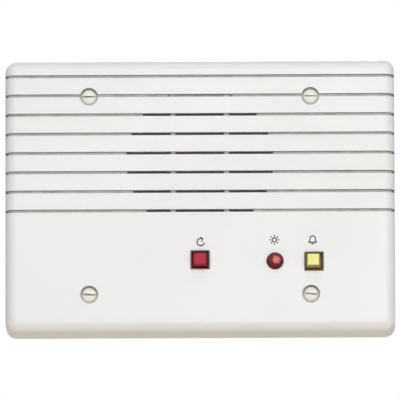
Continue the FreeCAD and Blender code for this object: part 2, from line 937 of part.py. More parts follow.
def speaker_header():
    body = block(
        span(header_x, header_width),
        (board_rear_y, board_rear_y + header_length),
        span(header_z(), header_depth),
    )
    pins = []
    reach = header_depth / 2 + plug_length - plug_end_wall
    for x in header_pins_x():
        elbow = Vector(x, header_pin_y(), header_z())
        pins.append(Part.makeCylinder(header_pin_radius, reach, elbow))
        pins.append(rod(header_pin_radius, (board_front_y - pin_tail, header_pin_y()), x, header_z()))
    return joined([body, *pins])


def speaker_plug():
    low, high = plug_range_z()
    body = block(span(header_x, plug_width), span(header_pin_y(), plug_depth), (low, high))
    long_edges = [edge for edge in body.Edges if abs(edge.BoundBox.ZLength - plug_length) < 0.01]
    body = body.makeFillet(plug_edge_radius, long_edges)
    sockets = []
    depth = plug_length - plug_end_wall + moulded_gap
    for x in header_pins_x():
        mouth = Vector(x, header_pin_y(), low)
        sockets.append(Part.makeCylinder(header_pin_radius + thread_gap, depth, mouth))
    return body.cut(sockets)


def lead_start(side):
    return side * lug_spacing / 2, lug_rear_y + lead_radius, lug_low_z


def lead_end(side):
    return header_x + side * header_pin_pitch / 2, header_pin_y(), plug_range_z()[1]


def lead_route(side, steps, rise):
    # Leaves its lug to the left, bows upwards and drops straight into the plug.
    x, y, z = lead_start(side)
    end_x, end_y, end_z = lead_end(side)
    bow = [(x + step_x, y + step_y, z + step_z) for step_x, step_y, step_z in steps]
    return bow + [(end_x, end_y, end_z + rise), (end_x, end_y, end_z)]


def speaker_lead(route):
    wire, radii = routed_wire(route)
    lead = pipe(wire, lead_radius)
    share = lead.Volume / (math.pi * lead_radius**2 * wire.Length)
    print("speaker lead: length", round(wire.Length, 1), "radii", radii, "volume share", round(share, 4))
    return lead


# Circuit board


def switch_pin_places(x):
    return [x - contact_pitch / 2, x + contact_pitch / 2]


def terminal_places():
    first = terminal_x - terminal_pitch * (terminal_count - 1) / 2
    return [first + index * terminal_pitch for index in range(terminal_count)]


def chip_leg_places():
    first = chip_x - chip_leg_pitch * (chip_legs_per_side - 1) / 2
    columns = [first + index * chip_leg_pitch for index in range(chip_legs_per_side)]
    return [(x, board_z + side * chip_row_spacing / 2) for side in (-1, 1) for x in columns]


def resistor_places():
    return [(x, z) for z, row in resistor_rows.items() for x in row]


def capacitor_places():
    levels = [board_z + rise for rise in capacitor_rise]
    return list(zip(capacitor_x, levels, capacitor_radius, capacitor_height))


def trimmer_leg_places():
    low = board_z - trimmer_leg_pitch
    high = board_z + trimmer_leg_pitch
    side = trimmer_leg_pitch
    return [(trimmer_x - side, low), (trimmer_x + side, low), (trimmer_x, high)]


def board_holes():
    holes = []
    for centre_x, z in ((reset_x, reset_z), (call_x, call_z)):
        holes += [(x, z, pin_radius) for x in switch_pin_places(centre_x)]
    leg = diode_leg_width / math.sqrt(2)
    holes += [(x, lamp_z, leg) for x in span(lamp_x, diode_leg_pitch)]
    holes += [(x, terminal_z, terminal_pin_width / math.sqrt(2)) for x in terminal_places()]
    holes += [(x, z, chip_leg_width / math.sqrt(2)) for x, z in chip_leg_places()]
    for x, z, _, _ in capacitor_places():
        holes += [(leg_x, z, pin_radius) for leg_x in span(x, capacitor_leg_pitch)]
    for x, z in resistor_places():
        holes += [(leg_x, z, resistor_lead_radius) for leg_x in span(x, resistor_span)]
    holes += [(x, z, pin_radius) for x, z in trimmer_leg_places()]
    holes += [(x, header_z(), header_pin_radius) for x in header_pins_x()]
    return holes


def circuit_board():
    board = block(span(0.0, board_length), (board_front_y, board_rear_y), (board_bottom_z, board_top_z))
    through = (board_front_y - 1.0, board_rear_y + 1.0)
    cutters = [rod(radius + pin_hole_gap, through, x, z) for x, z, radius in board_holes()]
    for x, z in board_screw_places:
        cutters.append(rod(self_tapper_radius + board_hole_clearance, through, x, z))
    for side, level in screw_corners:
        clear = screw_boss_radius + board_hole_clearance
        cutters.append(rod(clear, through, side * screw_x, level * screw_z))
    return board.cut(cutters)


# Push buttons


def switch_body(x, z):
    outer = square_bar(switch_width, (cover_rear_y, board_front_y), x, z)
    chamber = square_bar(switch_width - 2 * switch_wall, (cover_rear_y - 1.0, switch_floor_y), x, z)
    through = (switch_floor_y - 1.0, board_front_y + 1.0)
    holes = [rod(pin_radius + moulded_gap, through, pin_x, z) for pin_x in switch_pin_places(x)]
    return outer.cut([chamber, *holes])


def switch_cover(x, z, stem_x, stem_z):
    plate = square_bar(switch_width, (cover_front_y, cover_rear_y), x, z)
    collar = square_bar(collar_width, (face_y - collar_stand_out, cover_front_y), x, z)
    well = square_bar(collar_width - 2 * collar_wall, (face_y - 1.0, cover_front_y), x, z)
    guide_width = plunger_width + 2 * plunger_clearance
    guide = square_bar(guide_width, (cover_front_y - 1.0, cover_rear_y + 1.0), stem_x, stem_z)
    return joined([plate, collar]).cut([well, guide])


def cap_planes():
    front = face_y - cap_stand_out
    shoulder = face_y + cap_shoulder_depth
    rear = cover_front_y - button_travel - cap_end_gap
    return front, shoulder, rear


def button_cap(x, z):
    front, shoulder, rear = cap_planes()
    outlines = []
    for width, y in ((cap_face_width, front), (cap_base_width, shoulder)):
        outline = rounded_outline(width, width, cap_edge_radius, y)
        outline.translate(Vector(x, 0, z))
        outlines.append(outline)
    crown = Part.makeLoft(outlines, True, True)
    crown = crown.makeFillet(cap_face_rounding, edges_at(crown, front))
    skirt = rounded_slab(cap_base_width, cap_base_width, cap_edge_radius, (shoulder, rear), x, z)
    hollow = square_bar(cap_base_width - 2 * cap_wall, (shoulder, rear + 1.0), x, z)
    socket = square_bar(plunger_width + 2 * plunger_fit_gap, (front + cap_top_thickness, rear), x, z)
    return joined([crown, skirt]).cut([hollow, socket])


def plunger_planes():
    tip = cap_planes()[0] + cap_top_thickness + plunger_fit_gap
    flange_front = cover_rear_y + flange_gap
    bridge_rear = switch_floor_y - contact_height - contact_end_gap - button_travel
    return tip, flange_front, bridge_rear


def button_plunger(x, z):
    tip, flange_front, bridge_rear = plunger_planes()
    stem = square_bar(plunger_width, (tip, flange_front), x, z)
    flange = square_bar(flange_width, (flange_front, flange_front + flange_thickness), x, z)
    guide = rod(guide_radius, (flange_front + flange_thickness, bridge_rear - bridge_thickness), x, z)
    return joined([stem, flange, guide])


def contact_bridge(x, z):
    rear = plunger_planes()[2]
    return block(span(x, bridge_length), (rear - bridge_thickness, rear), span(z, bridge_width))


def button_spring(x, z):
    flange_rear = plunger_planes()[1] + flange_thickness
    gap = moulded_gap + spring_wire_radius
    start = flange_rear + gap
    rise = switch_floor_y - gap - start
    pitch = rise / spring_turns
    wire = helix_wire(spring_radius, pitch, spring_turns, start, x, z)
    print("return spring: least gap between turns", round(least_turn_gap(wire, pitch), 2))
    return pipe(wire, spring_wire_radius)


def least_turn_gap(wire, pitch):
    points = wire.discretize(40 * spring_turns)
    pairs = [(a, b) for i, a in enumerate(points) for b in points[i + 20 :]]
    return min(a.distanceToPoint(b) for a, b in pairs if abs(a.y - b.y) > pitch / 2) - 2 * spring_wire_radius


def switch_pins(x, z):
    pins = []
    for pin_x in switch_pin_places(x):
        pad = rod(contact_radius, (switch_floor_y - contact_height, switch_floor_y), pin_x, z)
        leg = rod(pin_radius, (switch_floor_y, board_rear_y + pin_tail), pin_x, z)
        pins.append(joined([pad, leg]))
    return group(pins)


def push_button_parts(name, x, z, shift_x, shift_z):
    cap_x = x + shift_x
    cap_z = z + shift_z
    return {
        name + "_switch_body": switch_body(x, z),
        name + "_switch_cover": switch_cover(x, z, cap_x, cap_z),
        name + "_switch_pins": switch_pins(x, z),
        name + "_button_cap": button_cap(cap_x, cap_z),
        name + "_plunger": button_plunger(cap_x, cap_z),
        name + "_contact_bridge": contact_bridge(cap_x, cap_z),
        name + "_return_spring": button_spring(cap_x, cap_z),
    }


# Emergency lamp


def emergency_lens():
    # A barrel with a domed end, a holding flange and a round-ended bore.
    dome_radius = (lens_radius**2 + lens_stand_out**2) / (2 * lens_stand_out)
    tip = face_y - lens_stand_out
    ball = Part.makeSphere(dome_radius, Vector(lamp_x, tip + dome_radius, lamp_z))
    dome = ball.common(rod(lens_radius, (tip, face_y), lamp_x, lamp_z))
    barrel = rod(lens_radius, (face_y, inner_face_y + lens_barrel_length), lamp_x, lamp_z)
    flange = rod(lens_flange_radius, (inner_face_y, inner_face_y + lens_flange_thickness), lamp_x, lamp_z)
    bore_radius = diode_radius + lens_bore_gap
    bore_end = tip + lens_top_thickness + bore_radius
    bore = rod(bore_radius, (bore_end, inner_face_y + lens_barrel_length + 1.0), lamp_x, lamp_z)
    bore_tip = Part.makeSphere(bore_radius, Vector(lamp_x, bore_end, lamp_z))
    return joined([dome, barrel, flange]).cut([bore, bore_tip])


def lens_retainer():
    front = inner_face_y + lens_flange_thickness
    return ring(
        lens_flange_radius + lens_hole_clearance - moulded_gap,
        lens_radius + lens_hole_clearance,
        (front, front + retainer_thickness),
        lamp_x,
        lamp_z,
    )


def diode_base_y():
    return face_y - lens_stand_out + lens_top_thickness + lens_bore_gap + diode_height


def emergency_diode():
    base = diode_base_y()
    dome_centre = base - diode_height + diode_radius
    dome = Part.makeSphere(diode_radius, Vector(lamp_x, dome_centre, lamp_z))
    body = rod(diode_radius, (dome_centre, base), lamp_x, lamp_z)
    rim = rod(diode_rim_radius, (base - diode_rim_thickness, base), lamp_x, lamp_z)
    return joined([dome, body, rim])


def emergency_diode_legs():
    reach = (diode_base_y(), board_rear_y + pin_tail)
    return group([square_bar(diode_leg_width, reach, x, lamp_z) for x in span(lamp_x, diode_leg_pitch)])


def diode_spacer():
    reach = (diode_base_y(), board_front_y)
    body = rod(diode_radius, reach, lamp_x, lamp_z)
    leg_hole = diode_leg_width / math.sqrt(2) + moulded_gap
    return body.cut([rod(leg_hole, reach, x, lamp_z) for x in span(lamp_x, diode_leg_pitch)])


# Terminal block


def chamber_range_y():
    floor = board_rear_y + terminal_floor
    return (floor, board_rear_y + terminal_depth - terminal_roof)


def ledge_y():
    return chamber_range_y()[1] + clamp_wall


def wire_way_y():
    floor = chamber_range_y()[0] + clamp_gap + clamp_wall
    return (floor, floor + wire_entry_depth)


def terminal_block():
    length = terminal_count * terminal_pitch
    rear = board_rear_y + terminal_depth
    body = block(span(terminal_x, length), (board_rear_y, rear), span(terminal_z, terminal_width))
    long_edges = [edge for edge in edges_at(body, rear) if edge.BoundBox.XLength > length / 2]
    body = body.makeChamfer(terminal_chamfer, long_edges)
    chamber_y = chamber_range_y()
    chamber_z = span(terminal_z, terminal_chamber_height)
    entry_z = (terminal_z - terminal_width, terminal_z)
    cutters = []
    for x in terminal_places():
        cutters.append(block(span(x, terminal_chamber_width), chamber_y, chamber_z))
        cutters.append(block(span(x, wire_entry_width), wire_way_y(), entry_z))
        cutters.append(rod(terminal_screw_radius + clamp_gap, (chamber_y[1] - 1.0, rear), x, terminal_z))
        cutters.append(rod(terminal_head_radius + terminal_head_gap, (ledge_y(), rear + 1.0), x, terminal_z))
        slot_width = terminal_pin_width + 2 * moulded_gap
        cutters.append(square_bar(slot_width, (board_rear_y - 1.0, chamber_y[0] + 1.0), x, terminal_z))
    return body.cut(cutters)


def terminal_clamp(x):
    # A square tube for the wire, with its board pin below and the screw's hole above.
    chamber_y = chamber_range_y()
    tube_y = (chamber_y[0] + clamp_gap, chamber_y[1] - clamp_gap)
    width = terminal_chamber_width - 2 * clamp_gap
    height = terminal_chamber_height - 2 * clamp_gap
    tube = block(span(x, width), tube_y, span(terminal_z, height))
    inside_y = (tube_y[0] + clamp_wall, tube_y[1] - clamp_wall)
    inside = block(span(x, width - 2 * clamp_wall), inside_y, span(terminal_z, 2 * height))
    hole = rod(terminal_screw_radius + moulded_gap, (inside_y[0], chamber_y[1]), x, terminal_z)
    pin = square_bar(terminal_pin_width, (board_front_y - pin_tail, tube_y[0]), x, terminal_z)
    return joined([tube.cut([inside, hole]), pin])


def terminal_clamps():
    return group([terminal_clamp(x) for x in terminal_places()])


def terminal_screws():
    seat = ledge_y()
    shank_end = sum(wire_way_y()) / 2
    top = seat + terminal_head_height
    solids = []
    for index, x in enumerate(terminal_places()):
        head = rod(terminal_head_radius, (seat, top), x, terminal_z)
        screw = joined([head, rod(terminal_screw_radius, (shank_end, seat), x, terminal_z)])
        slot = block(
            span(x, 3 * terminal_head_radius),
            (top - terminal_head_height / 2, top + 1.0),
            span(terminal_z, terminal_slot_width),
        )
        solids.append(screw.cut(at_angle(slot, 25.0 * index, x, terminal_z)))
    return group(solids)


# Volume trimmer


def rotor_front_y():
    return board_rear_y + trimmer_depth - rotor_thickness


def volume_trimmer_body():
    rear = board_rear_y + trimmer_depth
    body = square_bar(trimmer_width, (board_rear_y, rear), trimmer_x, board_z)
    body = body.makeChamfer(trimmer_chamfer, edges_at(body, rear))
    seat = rod(rotor_radius + rotor_gap, (rotor_front_y() - rotor_gap, rear + 1.0), trimmer_x, board_z)
    stem_end = rotor_front_y() - rotor_stem_length - rotor_gap
    stem_hole = rod(rotor_stem_radius + rotor_gap, (stem_end, rear), trimmer_x, board_z)
    legs = [rod(pin_radius, (board_front_y - pin_tail, board_rear_y), x, z) for x, z in trimmer_leg_places()]
    return joined([body, *legs]).cut([seat, stem_hole])


def volume_trimmer_rotor():
    top = rotor_front_y() + rotor_thickness
    disc = rod(rotor_radius, (rotor_front_y(), top), trimmer_x, board_z)
    stem = rod(rotor_stem_radius, (rotor_front_y() - rotor_stem_length, rotor_front_y()), trimmer_x, board_z)
    slot = block(
        span(trimmer_x, rotor_slot_length),
        (top - rotor_slot_depth, top + 1.0),
        span(board_z, rotor_slot_width),
    )
    tick = block(
        span(trimmer_x, rotor_slot_width),
        (top - rotor_slot_depth, top + 1.0),
        (board_z, board_z + rotor_tick_length),
    )
    return joined([disc, stem]).cut([slot, tick])


# Driver chip, capacitors and resistors


def driver_chip():
    front = board_rear_y + chip_stand_off
    body = block(span(chip_x, chip_length), (front, front + chip_height), span(board_z, chip_width))
    body = body.makeChamfer(chip_chamfer, edges_at(body, front + chip_height))
    notch_y = (front + chip_height - chip_notch_depth, front + chip_height + 1.0)
    notch = rod(chip_notch_radius, notch_y, chip_x - chip_length / 2, board_z)
    return body.cut(notch)


def driver_chip_legs():
    middle_y = board_rear_y + chip_stand_off + chip_height / 2
    legs = []
    for x, z in chip_leg_places():
        side = 1 if z > board_z else -1
        shoulder_z = sorted((board_z + side * chip_width / 2, z + side * chip_leg_width / 2))
        shoulder = block(span(x, chip_leg_width * 2), (middle_y - chip_leg_width / 2, middle_y), shoulder_z)
        leg = square_bar(chip_leg_width, (board_front_y - pin_tail, middle_y), x, z)
        legs.append(joined([shoulder, leg]))
    return group(legs)


def capacitor(x, z, radius, height):
    front = board_rear_y + capacitor_stand_off
    rear = front + height
    can = rod(radius, (front, rear), x, z)
    can = can.makeFillet(capacitor_edge_radius, edges_at(can, rear))
    groove_y = (front + capacitor_groove_place, front + capacitor_groove_place + capacitor_groove_width)
    can = can.cut(ring(radius + 1.0, radius - capacitor_groove_depth, groove_y, x, z))
    leg_y = (board_front_y - pin_tail, front)
    legs = [rod(pin_radius, leg_y, leg_x, z) for leg_x in span(x, capacitor_leg_pitch)]
    return joined([can, *legs])


def capacitors():
    return group([capacitor(*place) for place in capacitor_places()])


def resistor(x, z):
    middle_y = board_rear_y + resistor_stand_off + resistor_radius
    half = resistor_length / 2
    waist_half = half - resistor_cap_length

    def drum(radius, low, high):
        return Part.makeCylinder(radius, high - low, Vector(x + low, middle_y, z), Vector(1, 0, 0))

    solids = [
        drum(resistor_radius, -half, -waist_half),
        drum(resistor_waist_radius, -waist_half, waist_half),
        drum(resistor_radius, waist_half, half),
    ]
    reach = resistor_span / 2
    tail = board_front_y - pin_tail
    for side in (-1, 1):
        bend = 2 * resistor_lead_radius
        start = Vector(x + side * waist_half, middle_y, z)
        turn_in = Vector(x + side * (reach - bend), middle_y, z)
        corner = Vector(x + side * reach, middle_y, z)
        turn_out = Vector(x + side * reach, middle_y - bend, z)
        end = Vector(x + side * reach, tail, z)
        edges = [Part.makeLine(start, turn_in), corner_arc(turn_in, corner, turn_out)]
        edges.append(Part.makeLine(turn_out, end))
        solids.append(pipe(Part.Wire(edges), resistor_lead_radius))
    return joined(solids)


def resistors():
    return group([resistor(x, z) for x, z in resistor_places()])


# Every sub-part by name


def all_parts():
    parts = {
        "front_housing": front_housing(),
        "mounting_screws": mounting_screws(),
        "grille_cloth": grille_cloth(),
        "speaker_gasket": speaker_gasket(),
        "speaker_basket": speaker_basket(),
        "speaker_surround": speaker_surround(),
        "speaker_cone": speaker_cone(),
        "speaker_dust_cap": speaker_dust_cap(),
        "voice_coil": voice_coil(),
        "speaker_spider": speaker_spider(),
        "speaker_top_plate": speaker_top_plate(),
        "speaker_magnet": speaker_magnet(),
        "speaker_pole_piece": speaker_pole_piece(),
        "speaker_clips": speaker_clips(),
        "speaker_clip_screws": speaker_clip_screws(),
        "speaker_terminal_strip": speaker_terminal_strip(),
        "speaker_lugs": speaker_lugs(),
        "speaker_lead_red": speaker_lead(lead_route(-1, red_lead_steps, red_lead_rise)),
        "speaker_lead_black": speaker_lead(lead_route(1, black_lead_steps, black_lead_rise)),
        "speaker_header": speaker_header(),
        "speaker_plug": speaker_plug(),
        "circuit_board": circuit_board(),
        "board_screws": board_screws(),
        "emergency_lens": emergency_lens(),
        "lens_retainer": lens_retainer(),
        "emergency_diode": emergency_diode(),
        "emergency_diode_legs": emergency_diode_legs(),
        "diode_spacer": diode_spacer(),
        "terminal_block": terminal_block(),
        "terminal_clamps": terminal_clamps(),
        "terminal_screws": terminal_screws(),
        "volume_trimmer_body": volume_trimmer_body(),
        "volume_trimmer_rotor": volume_trimmer_rotor(),
        "driver_chip": driver_chip(),
        "driver_chip_legs": driver_chip_legs(),
        "capacitors": capacitors(),
        "resistors": resistors(),
    }
    parts.update(push_button_parts("reset", reset_x, reset_z, 0.0, 0.0))
    parts.update(push_button_parts("call", call_x, call_z, call_cap_shift_x, call_cap_shift_z))
    return parts


def main():
    os.makedirs("parts", exist_ok=True)
    for name, shape in all_parts().items():
        if not shape.isValid():
            print("not valid:", name)
        shape.exportStep(os.path.join("parts", name + ".step"))
        print(name, "solids", len(shape.Solids), "volume", round(shape.Volume, 2))


main()
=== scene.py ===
import math
import random

import bmesh
import bpy
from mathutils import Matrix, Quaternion, Vector


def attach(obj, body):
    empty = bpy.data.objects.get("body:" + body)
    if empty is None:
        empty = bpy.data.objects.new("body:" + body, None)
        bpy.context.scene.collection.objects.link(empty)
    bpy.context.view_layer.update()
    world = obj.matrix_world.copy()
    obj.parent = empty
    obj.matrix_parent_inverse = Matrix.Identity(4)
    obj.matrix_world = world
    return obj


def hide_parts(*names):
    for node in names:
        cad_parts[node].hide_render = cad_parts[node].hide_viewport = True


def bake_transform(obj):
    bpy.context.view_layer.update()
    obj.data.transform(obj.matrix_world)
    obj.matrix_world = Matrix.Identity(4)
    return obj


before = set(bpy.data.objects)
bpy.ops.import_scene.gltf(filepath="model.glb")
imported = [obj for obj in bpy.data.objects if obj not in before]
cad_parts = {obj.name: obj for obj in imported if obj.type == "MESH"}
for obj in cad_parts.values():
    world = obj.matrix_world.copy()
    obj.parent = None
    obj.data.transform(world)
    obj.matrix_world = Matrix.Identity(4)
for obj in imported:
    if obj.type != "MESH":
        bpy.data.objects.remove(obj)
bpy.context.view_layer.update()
mm = 0.001
frontY = -19.05  # front plane of the housing, in millimetres like every size below
innerY = -16.25  # inner side of its front wall
boardFrontY = -6.15
boardRearY = -4.55
speakerZ = 14.6
print("packed model loaded:", len(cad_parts), "nodes")


# Camera, light and floor

cameraView = {
    "azimuth": 0.5,  # degrees to the right of straight on
    "elevation": -9.5,  # from a little below
    "roll": -0.17,
    "distance": 5.0,
    "frameWidth": 0.16615,  # metres across the picture at the object
    "aim": (0.00004, -0.019, -0.00204),
}

softLights = {  # where each stands, how large it is in metres, its power and its tint
    "keySoftbox": {"place": (0.35, -2.2, 0.5), "size": (0.9, 0.7), "power": 20.8, "tint": (0.95, 0.978, 1)},
    "leftPanel": {"place": (-2.0, -1.3, 0.25), "size": (0.9, 1.4), "power": 0.9, "tint": (0.78, 0.82, 1)},
    "rightPanel": {"place": (2.0, -1.3, 0.1), "size": (0.9, 1.4), "power": 1.8, "tint": (1, 0.92, 0.78)},
    "lowPanel": {"place": (0.1, -1.5, -0.22), "size": (1.6, 0.12), "power": 1.6, "tint": (1, 0.9, 0.75)},
    "overheadPanel": {"place": (0, -0.9, 1.7), "size": (1.6, 0.5), "power": 7.2, "tint": (0.95, 0.975, 1)},
    "rearSoftbox": {"place": (-0.6, 2.1, 1.2), "size": (1.6, 1.2), "power": 26, "tint": (1, 1, 1)},
}

pureWhite = (1.0, 1.0, 1.0, 1.0)

roomLight = {
    "ambient": (0.20, 0.20, 0.20, 1.0),  # what the world adds all round
    "floorLevel": -0.3, "floorSide": 12.0, "floorGlow": 0.65, "floorRough": 0.9,
    "paper": ((0.90, 0.865, 0.82, 1.0), (0.92, 0.885, 0.84, 1.0)), "paperScale": 6.0,
    "bounce": (0.98, 0.87, 0.72, 1.0),  # warm light that the floor throws on the underside
}


def linkedObject(name, data):
    made = bpy.data.objects.new(name, data)
    bpy.context.scene.collection.objects.link(made)
    return made


def aimedAt(place, target):
    return (Vector(target) - Vector(place)).to_track_quat("-Z", "Y")


def addCamera(settings):
    around = math.radians(settings["azimuth"])
    above = math.radians(settings["elevation"])
    level = math.cos(above)
    back = Vector((math.sin(around) * level, -math.cos(around) * level, math.sin(above)))
    aim = Vector(settings["aim"])
    camera = linkedObject("stationCamera", bpy.data.cameras.new("stationCamera"))
    camera.data.lens = camera.data.sensor_width * settings["distance"] / settings["frameWidth"]
    camera.data.clip_start = 0.05
    camera.data.clip_end = 100.0
    camera.location = aim + back * settings["distance"]
    turn = Quaternion((0.0, 0.0, 1.0), math.radians(settings["roll"]))
    camera.rotation_mode = "QUATERNION"
    camera.rotation_quaternion = aimedAt(camera.location, aim) @ turn
    bpy.context.scene.camera = camera


def addSoftLights(lights):
    for name, settings in lights.items():
        lamp = bpy.data.lights.new(name, "AREA")
        lamp.shape = "RECTANGLE"
        lamp.size, lamp.size_y = settings["size"]
        lamp.energy = settings["power"]
        lamp.color = settings["tint"]
        holder = linkedObject(name, lamp)
        holder.location = settings["place"]
        holder.rotation_mode = "QUATERNION"
        holder.rotation_quaternion = aimedAt(settings["place"], (0.0, 0.0, 0.0))


def addRoom(settings):
    addWorld(settings)
    addFloor(settings)


def addWorld(settings):
    # White to look at, also in a mirror or through glass, and grey as a light.
    world = bpy.data.worlds.new("studioRoom")
    bpy.context.scene.world = world
    world.use_nodes = True
    tree = world.node_tree
    tree.nodes.clear()
    ray = addNode(tree, "ShaderNodeLightPath").outputs
    seen = calc(tree, "MAXIMUM", ray["Is Camera Ray"], ray["Is Glossy Ray"])
    seen = calc(tree, "MAXIMUM", seen, ray["Is Transmission Ray"])
    colour = blendColour(tree, seen, settings["ambient"], pureWhite)
    background = resultOf(tree, "ShaderNodeBackground", {"Color": colour, "Strength": 1.0})
    addNode(tree, "ShaderNodeOutputWorld", {"Surface": background})


def addFloor(settings):
    # Pale paper that glows a little for the camera and isn't there from below.
    half, level = settings["floorSide"] / 2, settings["floorLevel"]
    corners = [(x, y, level) for x, y in ((-half, -half), (half, -half), (half, half), (-half, half))]
    mesh = bpy.data.meshes.new("paleFloor")
    mesh.from_pydata(corners, [], [(0, 1, 2, 3)])
    floor = linkedObject("paleFloor", mesh)
    material, tree, shader = startFinish("floorPaper")
    ray = addNode(tree, "ShaderNodeLightPath").outputs
    paper = noiseAt(tree, objectPlace(tree), settings["paperScale"], 3.0)
    paper = blendColour(tree, paper, *settings["paper"])
    paper = blendColour(tree, ray["Is Camera Ray"], settings["bounce"], paper)
    tree.links.new(paper, shader.inputs["Base Color"])
    shader.inputs["Roughness"].default_value = settings["floorRough"]
    glow = resultOf(tree, "ShaderNodeEmission", {"Color": pureWhite, "Strength": 1.0})
    amount = times(tree, ray["Is Camera Ray"], settings["floorGlow"])
    upper = resultOf(tree, "ShaderNodeMixShader", {0: amount, 1: shader.outputs[0], 2: glow})
    under = resultOf(tree, "ShaderNodeBsdfTransparent")
    facing = addNode(tree, "ShaderNodeNewGeometry").outputs["Backfacing"]
    both = resultOf(tree, "ShaderNodeMixShader", {0: facing, 1: upper, 2: under})
    output = next(node for node in tree.nodes if node.type == "OUTPUT_MATERIAL")
    tree.links.new(both, output.inputs["Surface"])
    mesh.materials.append(material)


# Small helpers for node trees


def addNode(tree, kind, inputs=None, **settings):
    made = tree.nodes.new(kind)
    for name, value in settings.items():
        setattr(made, name, value)
    for name, value in (inputs or {}).items():
        if isinstance(value, bpy.types.NodeSocket):
            tree.links.new(value, made.inputs[name])
        else:
            made.inputs[name].default_value = value
    return made


def resultOf(tree, kind, inputs=None, **settings):
    return addNode(tree, kind, inputs, **settings).outputs[0]


def calc(tree, operation, first, second=0.0, clamp=False):
    values = {0: first, 1: second}
    return resultOf(tree, "ShaderNodeMath", values, operation=operation, use_clamp=clamp)


def plus(tree, first, second, clamp=False):
    return calc(tree, "ADD", first, second, clamp)


def minus(tree, first, second, clamp=False):
    return calc(tree, "SUBTRACT", first, second, clamp)


def times(tree, first, second):
    return calc(tree, "MULTIPLY", first, second)


def ratio(tree, first, second):
    return calc(tree, "DIVIDE", first, second)


def vectorMath(tree, operation, first, second=(0.0, 0.0, 0.0)):
    return addNode(tree, "ShaderNodeVectorMath", {0: first, 1: second}, operation=operation).outputs


def remap(tree, value, fromLow, fromHigh, toLow=0.0, toHigh=1.0):
    inputs = {"Value": value, "From Min": fromLow, "From Max": fromHigh, "To Min": toLow, "To Max": toHigh}
    return resultOf(tree, "ShaderNodeMapRange", inputs)


def blendColour(tree, factor, first, second):
    inputs = {0: factor, 6: first, 7: second}
    return addNode(tree, "ShaderNodeMix", inputs, data_type="RGBA").outputs[2]


def noiseAt(tree, place, scale, detail=2.0, roughness=0.5):
    inputs = {"Vector": place, "Scale": scale, "Detail": detail, "Roughness": roughness}
    return resultOf(tree, "ShaderNodeTexNoise", inputs)


def objectPlace(tree):
    return addNode(tree, "ShaderNodeTexCoord").outputs["Object"]


def screenColour(red, green, blue):
    # A colour as it looks on the screen, 0 to 255, to the linear values that a shader takes.
    def linear(value):
        value /= 255.0
        return value / 12.92 if value <= 0.04045 else ((value + 0.055) / 1.055) ** 2.4

    return (linear(red), linear(green), linear(blue), 1.0)


def startGroup(name, inputs, outputs):
    tree = bpy.data.node_groups.new(name, "ShaderNodeTree")
    for label, value in inputs.items():
        socket = tree.interface.new_socket(label, in_out="INPUT", socket_type="NodeSocketFloat")
        socket.default_value = value
    for label in outputs:
        tree.interface.new_socket(label, in_out="OUTPUT", socket_type="NodeSocketFloat")
    return tree, addNode(tree, "NodeGroupInput").outputs, addNode(tree, "NodeGroupOutput").inputs


def placeGroup(tree, group, **values):
    made = addNode(tree, "ShaderNodeGroup", node_tree=group)
    for label, value in values.items():
        made.inputs[label].default_value = value
    return made.outputs


# Effects that several finishes share


def buildMouldGrain():
    # Fine pebbling of a moulded or cast skin, and its slow mottling.
    tree, given, out = startGroup("mouldGrain", {"Grain": 1500.0, "Mottle": 60.0}, ["Height", "Tone"])
    place = objectPlace(tree)
    fine = noiseAt(tree, place, given["Grain"], 3.0, 0.6)
    slow = noiseAt(tree, place, given["Mottle"], 4.0, 0.55)
    tree.links.new(fine, out["Height"])
    mixed = plus(tree, times(tree, slow, 0.75), times(tree, fine, 0.25))
    tree.links.new(remap(tree, mixed, 0.3, 0.7), out["Tone"])
    return tree


def buildEdgeRub():
    # A mask along the outer edges, where handling rubs them; on the caps it carries a painted highlight.
    tree, given, out = startGroup("edgeRubAndHighlight", {"Radius": 0.0004, "Breakup": 300.0}, ["Mask"])
    rounded = resultOf(tree, "ShaderNodeBevel", {"Radius": given["Radius"]}, samples=6)
    normal = addNode(tree, "ShaderNodeNewGeometry").outputs["Normal"]
    facing = vectorMath(tree, "DOT_PRODUCT", rounded, normal)["Value"]
    edge = remap(tree, facing, 0.995, 0.80)
    breakup = remap(tree, noiseAt(tree, objectPlace(tree), given["Breakup"], 3.0), 0.35, 0.65)
    tree.links.new(times(tree, edge, breakup), out["Mask"])
    return tree


def buildSettledDust():
    # Darker in corners, grooves and recesses: dust, and painted shade in those hollows.
    sizes = {"Reach": 0.003, "Breakup": 200.0, "Full": 0.3}
    tree, given, out = startGroup("dustAndCreaseShade", sizes, ["Mask", "Deep"])
    distance = {"Distance": given["Reach"]}
    openness = addNode(tree, "ShaderNodeAmbientOcclusion", distance, samples=8).outputs["AO"]
    closed = remap(tree, openness, 0.92, given["Full"])
    breakup = remap(tree, noiseAt(tree, objectPlace(tree), given["Breakup"], 3.0), 0.3, 0.7, 0.55, 1.0)
    tree.links.new(times(tree, closed, breakup), out["Mask"])
    tree.links.new(remap(tree, openness, 0.42, 0.2), out["Deep"])
    return tree


def buildPlainWeave():
    # Warp along Z over weft along X.
    tree, given, out = startGroup("plainWeave", {"Threads": 2400.0}, ["Height", "Gap"])
    axes = addNode(tree, "ShaderNodeSeparateXYZ", {0: objectPlace(tree)}).outputs
    strands = []
    for along, across in ((axes["X"], axes["Z"]), (axes["Z"], axes["X"])):
        angle = times(tree, times(tree, along, given["Threads"]), math.pi)
        cross = times(tree, times(tree, across, given["Threads"]), math.pi / 2)
        thread = calc(tree, "ABSOLUTE", calc(tree, "SINE", angle))
        wave = remap(tree, calc(tree, "SINE", cross), -1.0, 1.0, 0.6, 1.0)
        strands.append(times(tree, thread, wave))
    height = calc(tree, "MAXIMUM", strands[0], strands[1])
    tree.links.new(height, out["Height"])
    tree.links.new(remap(tree, height, 0.55, 0.25), out["Gap"])
    return tree


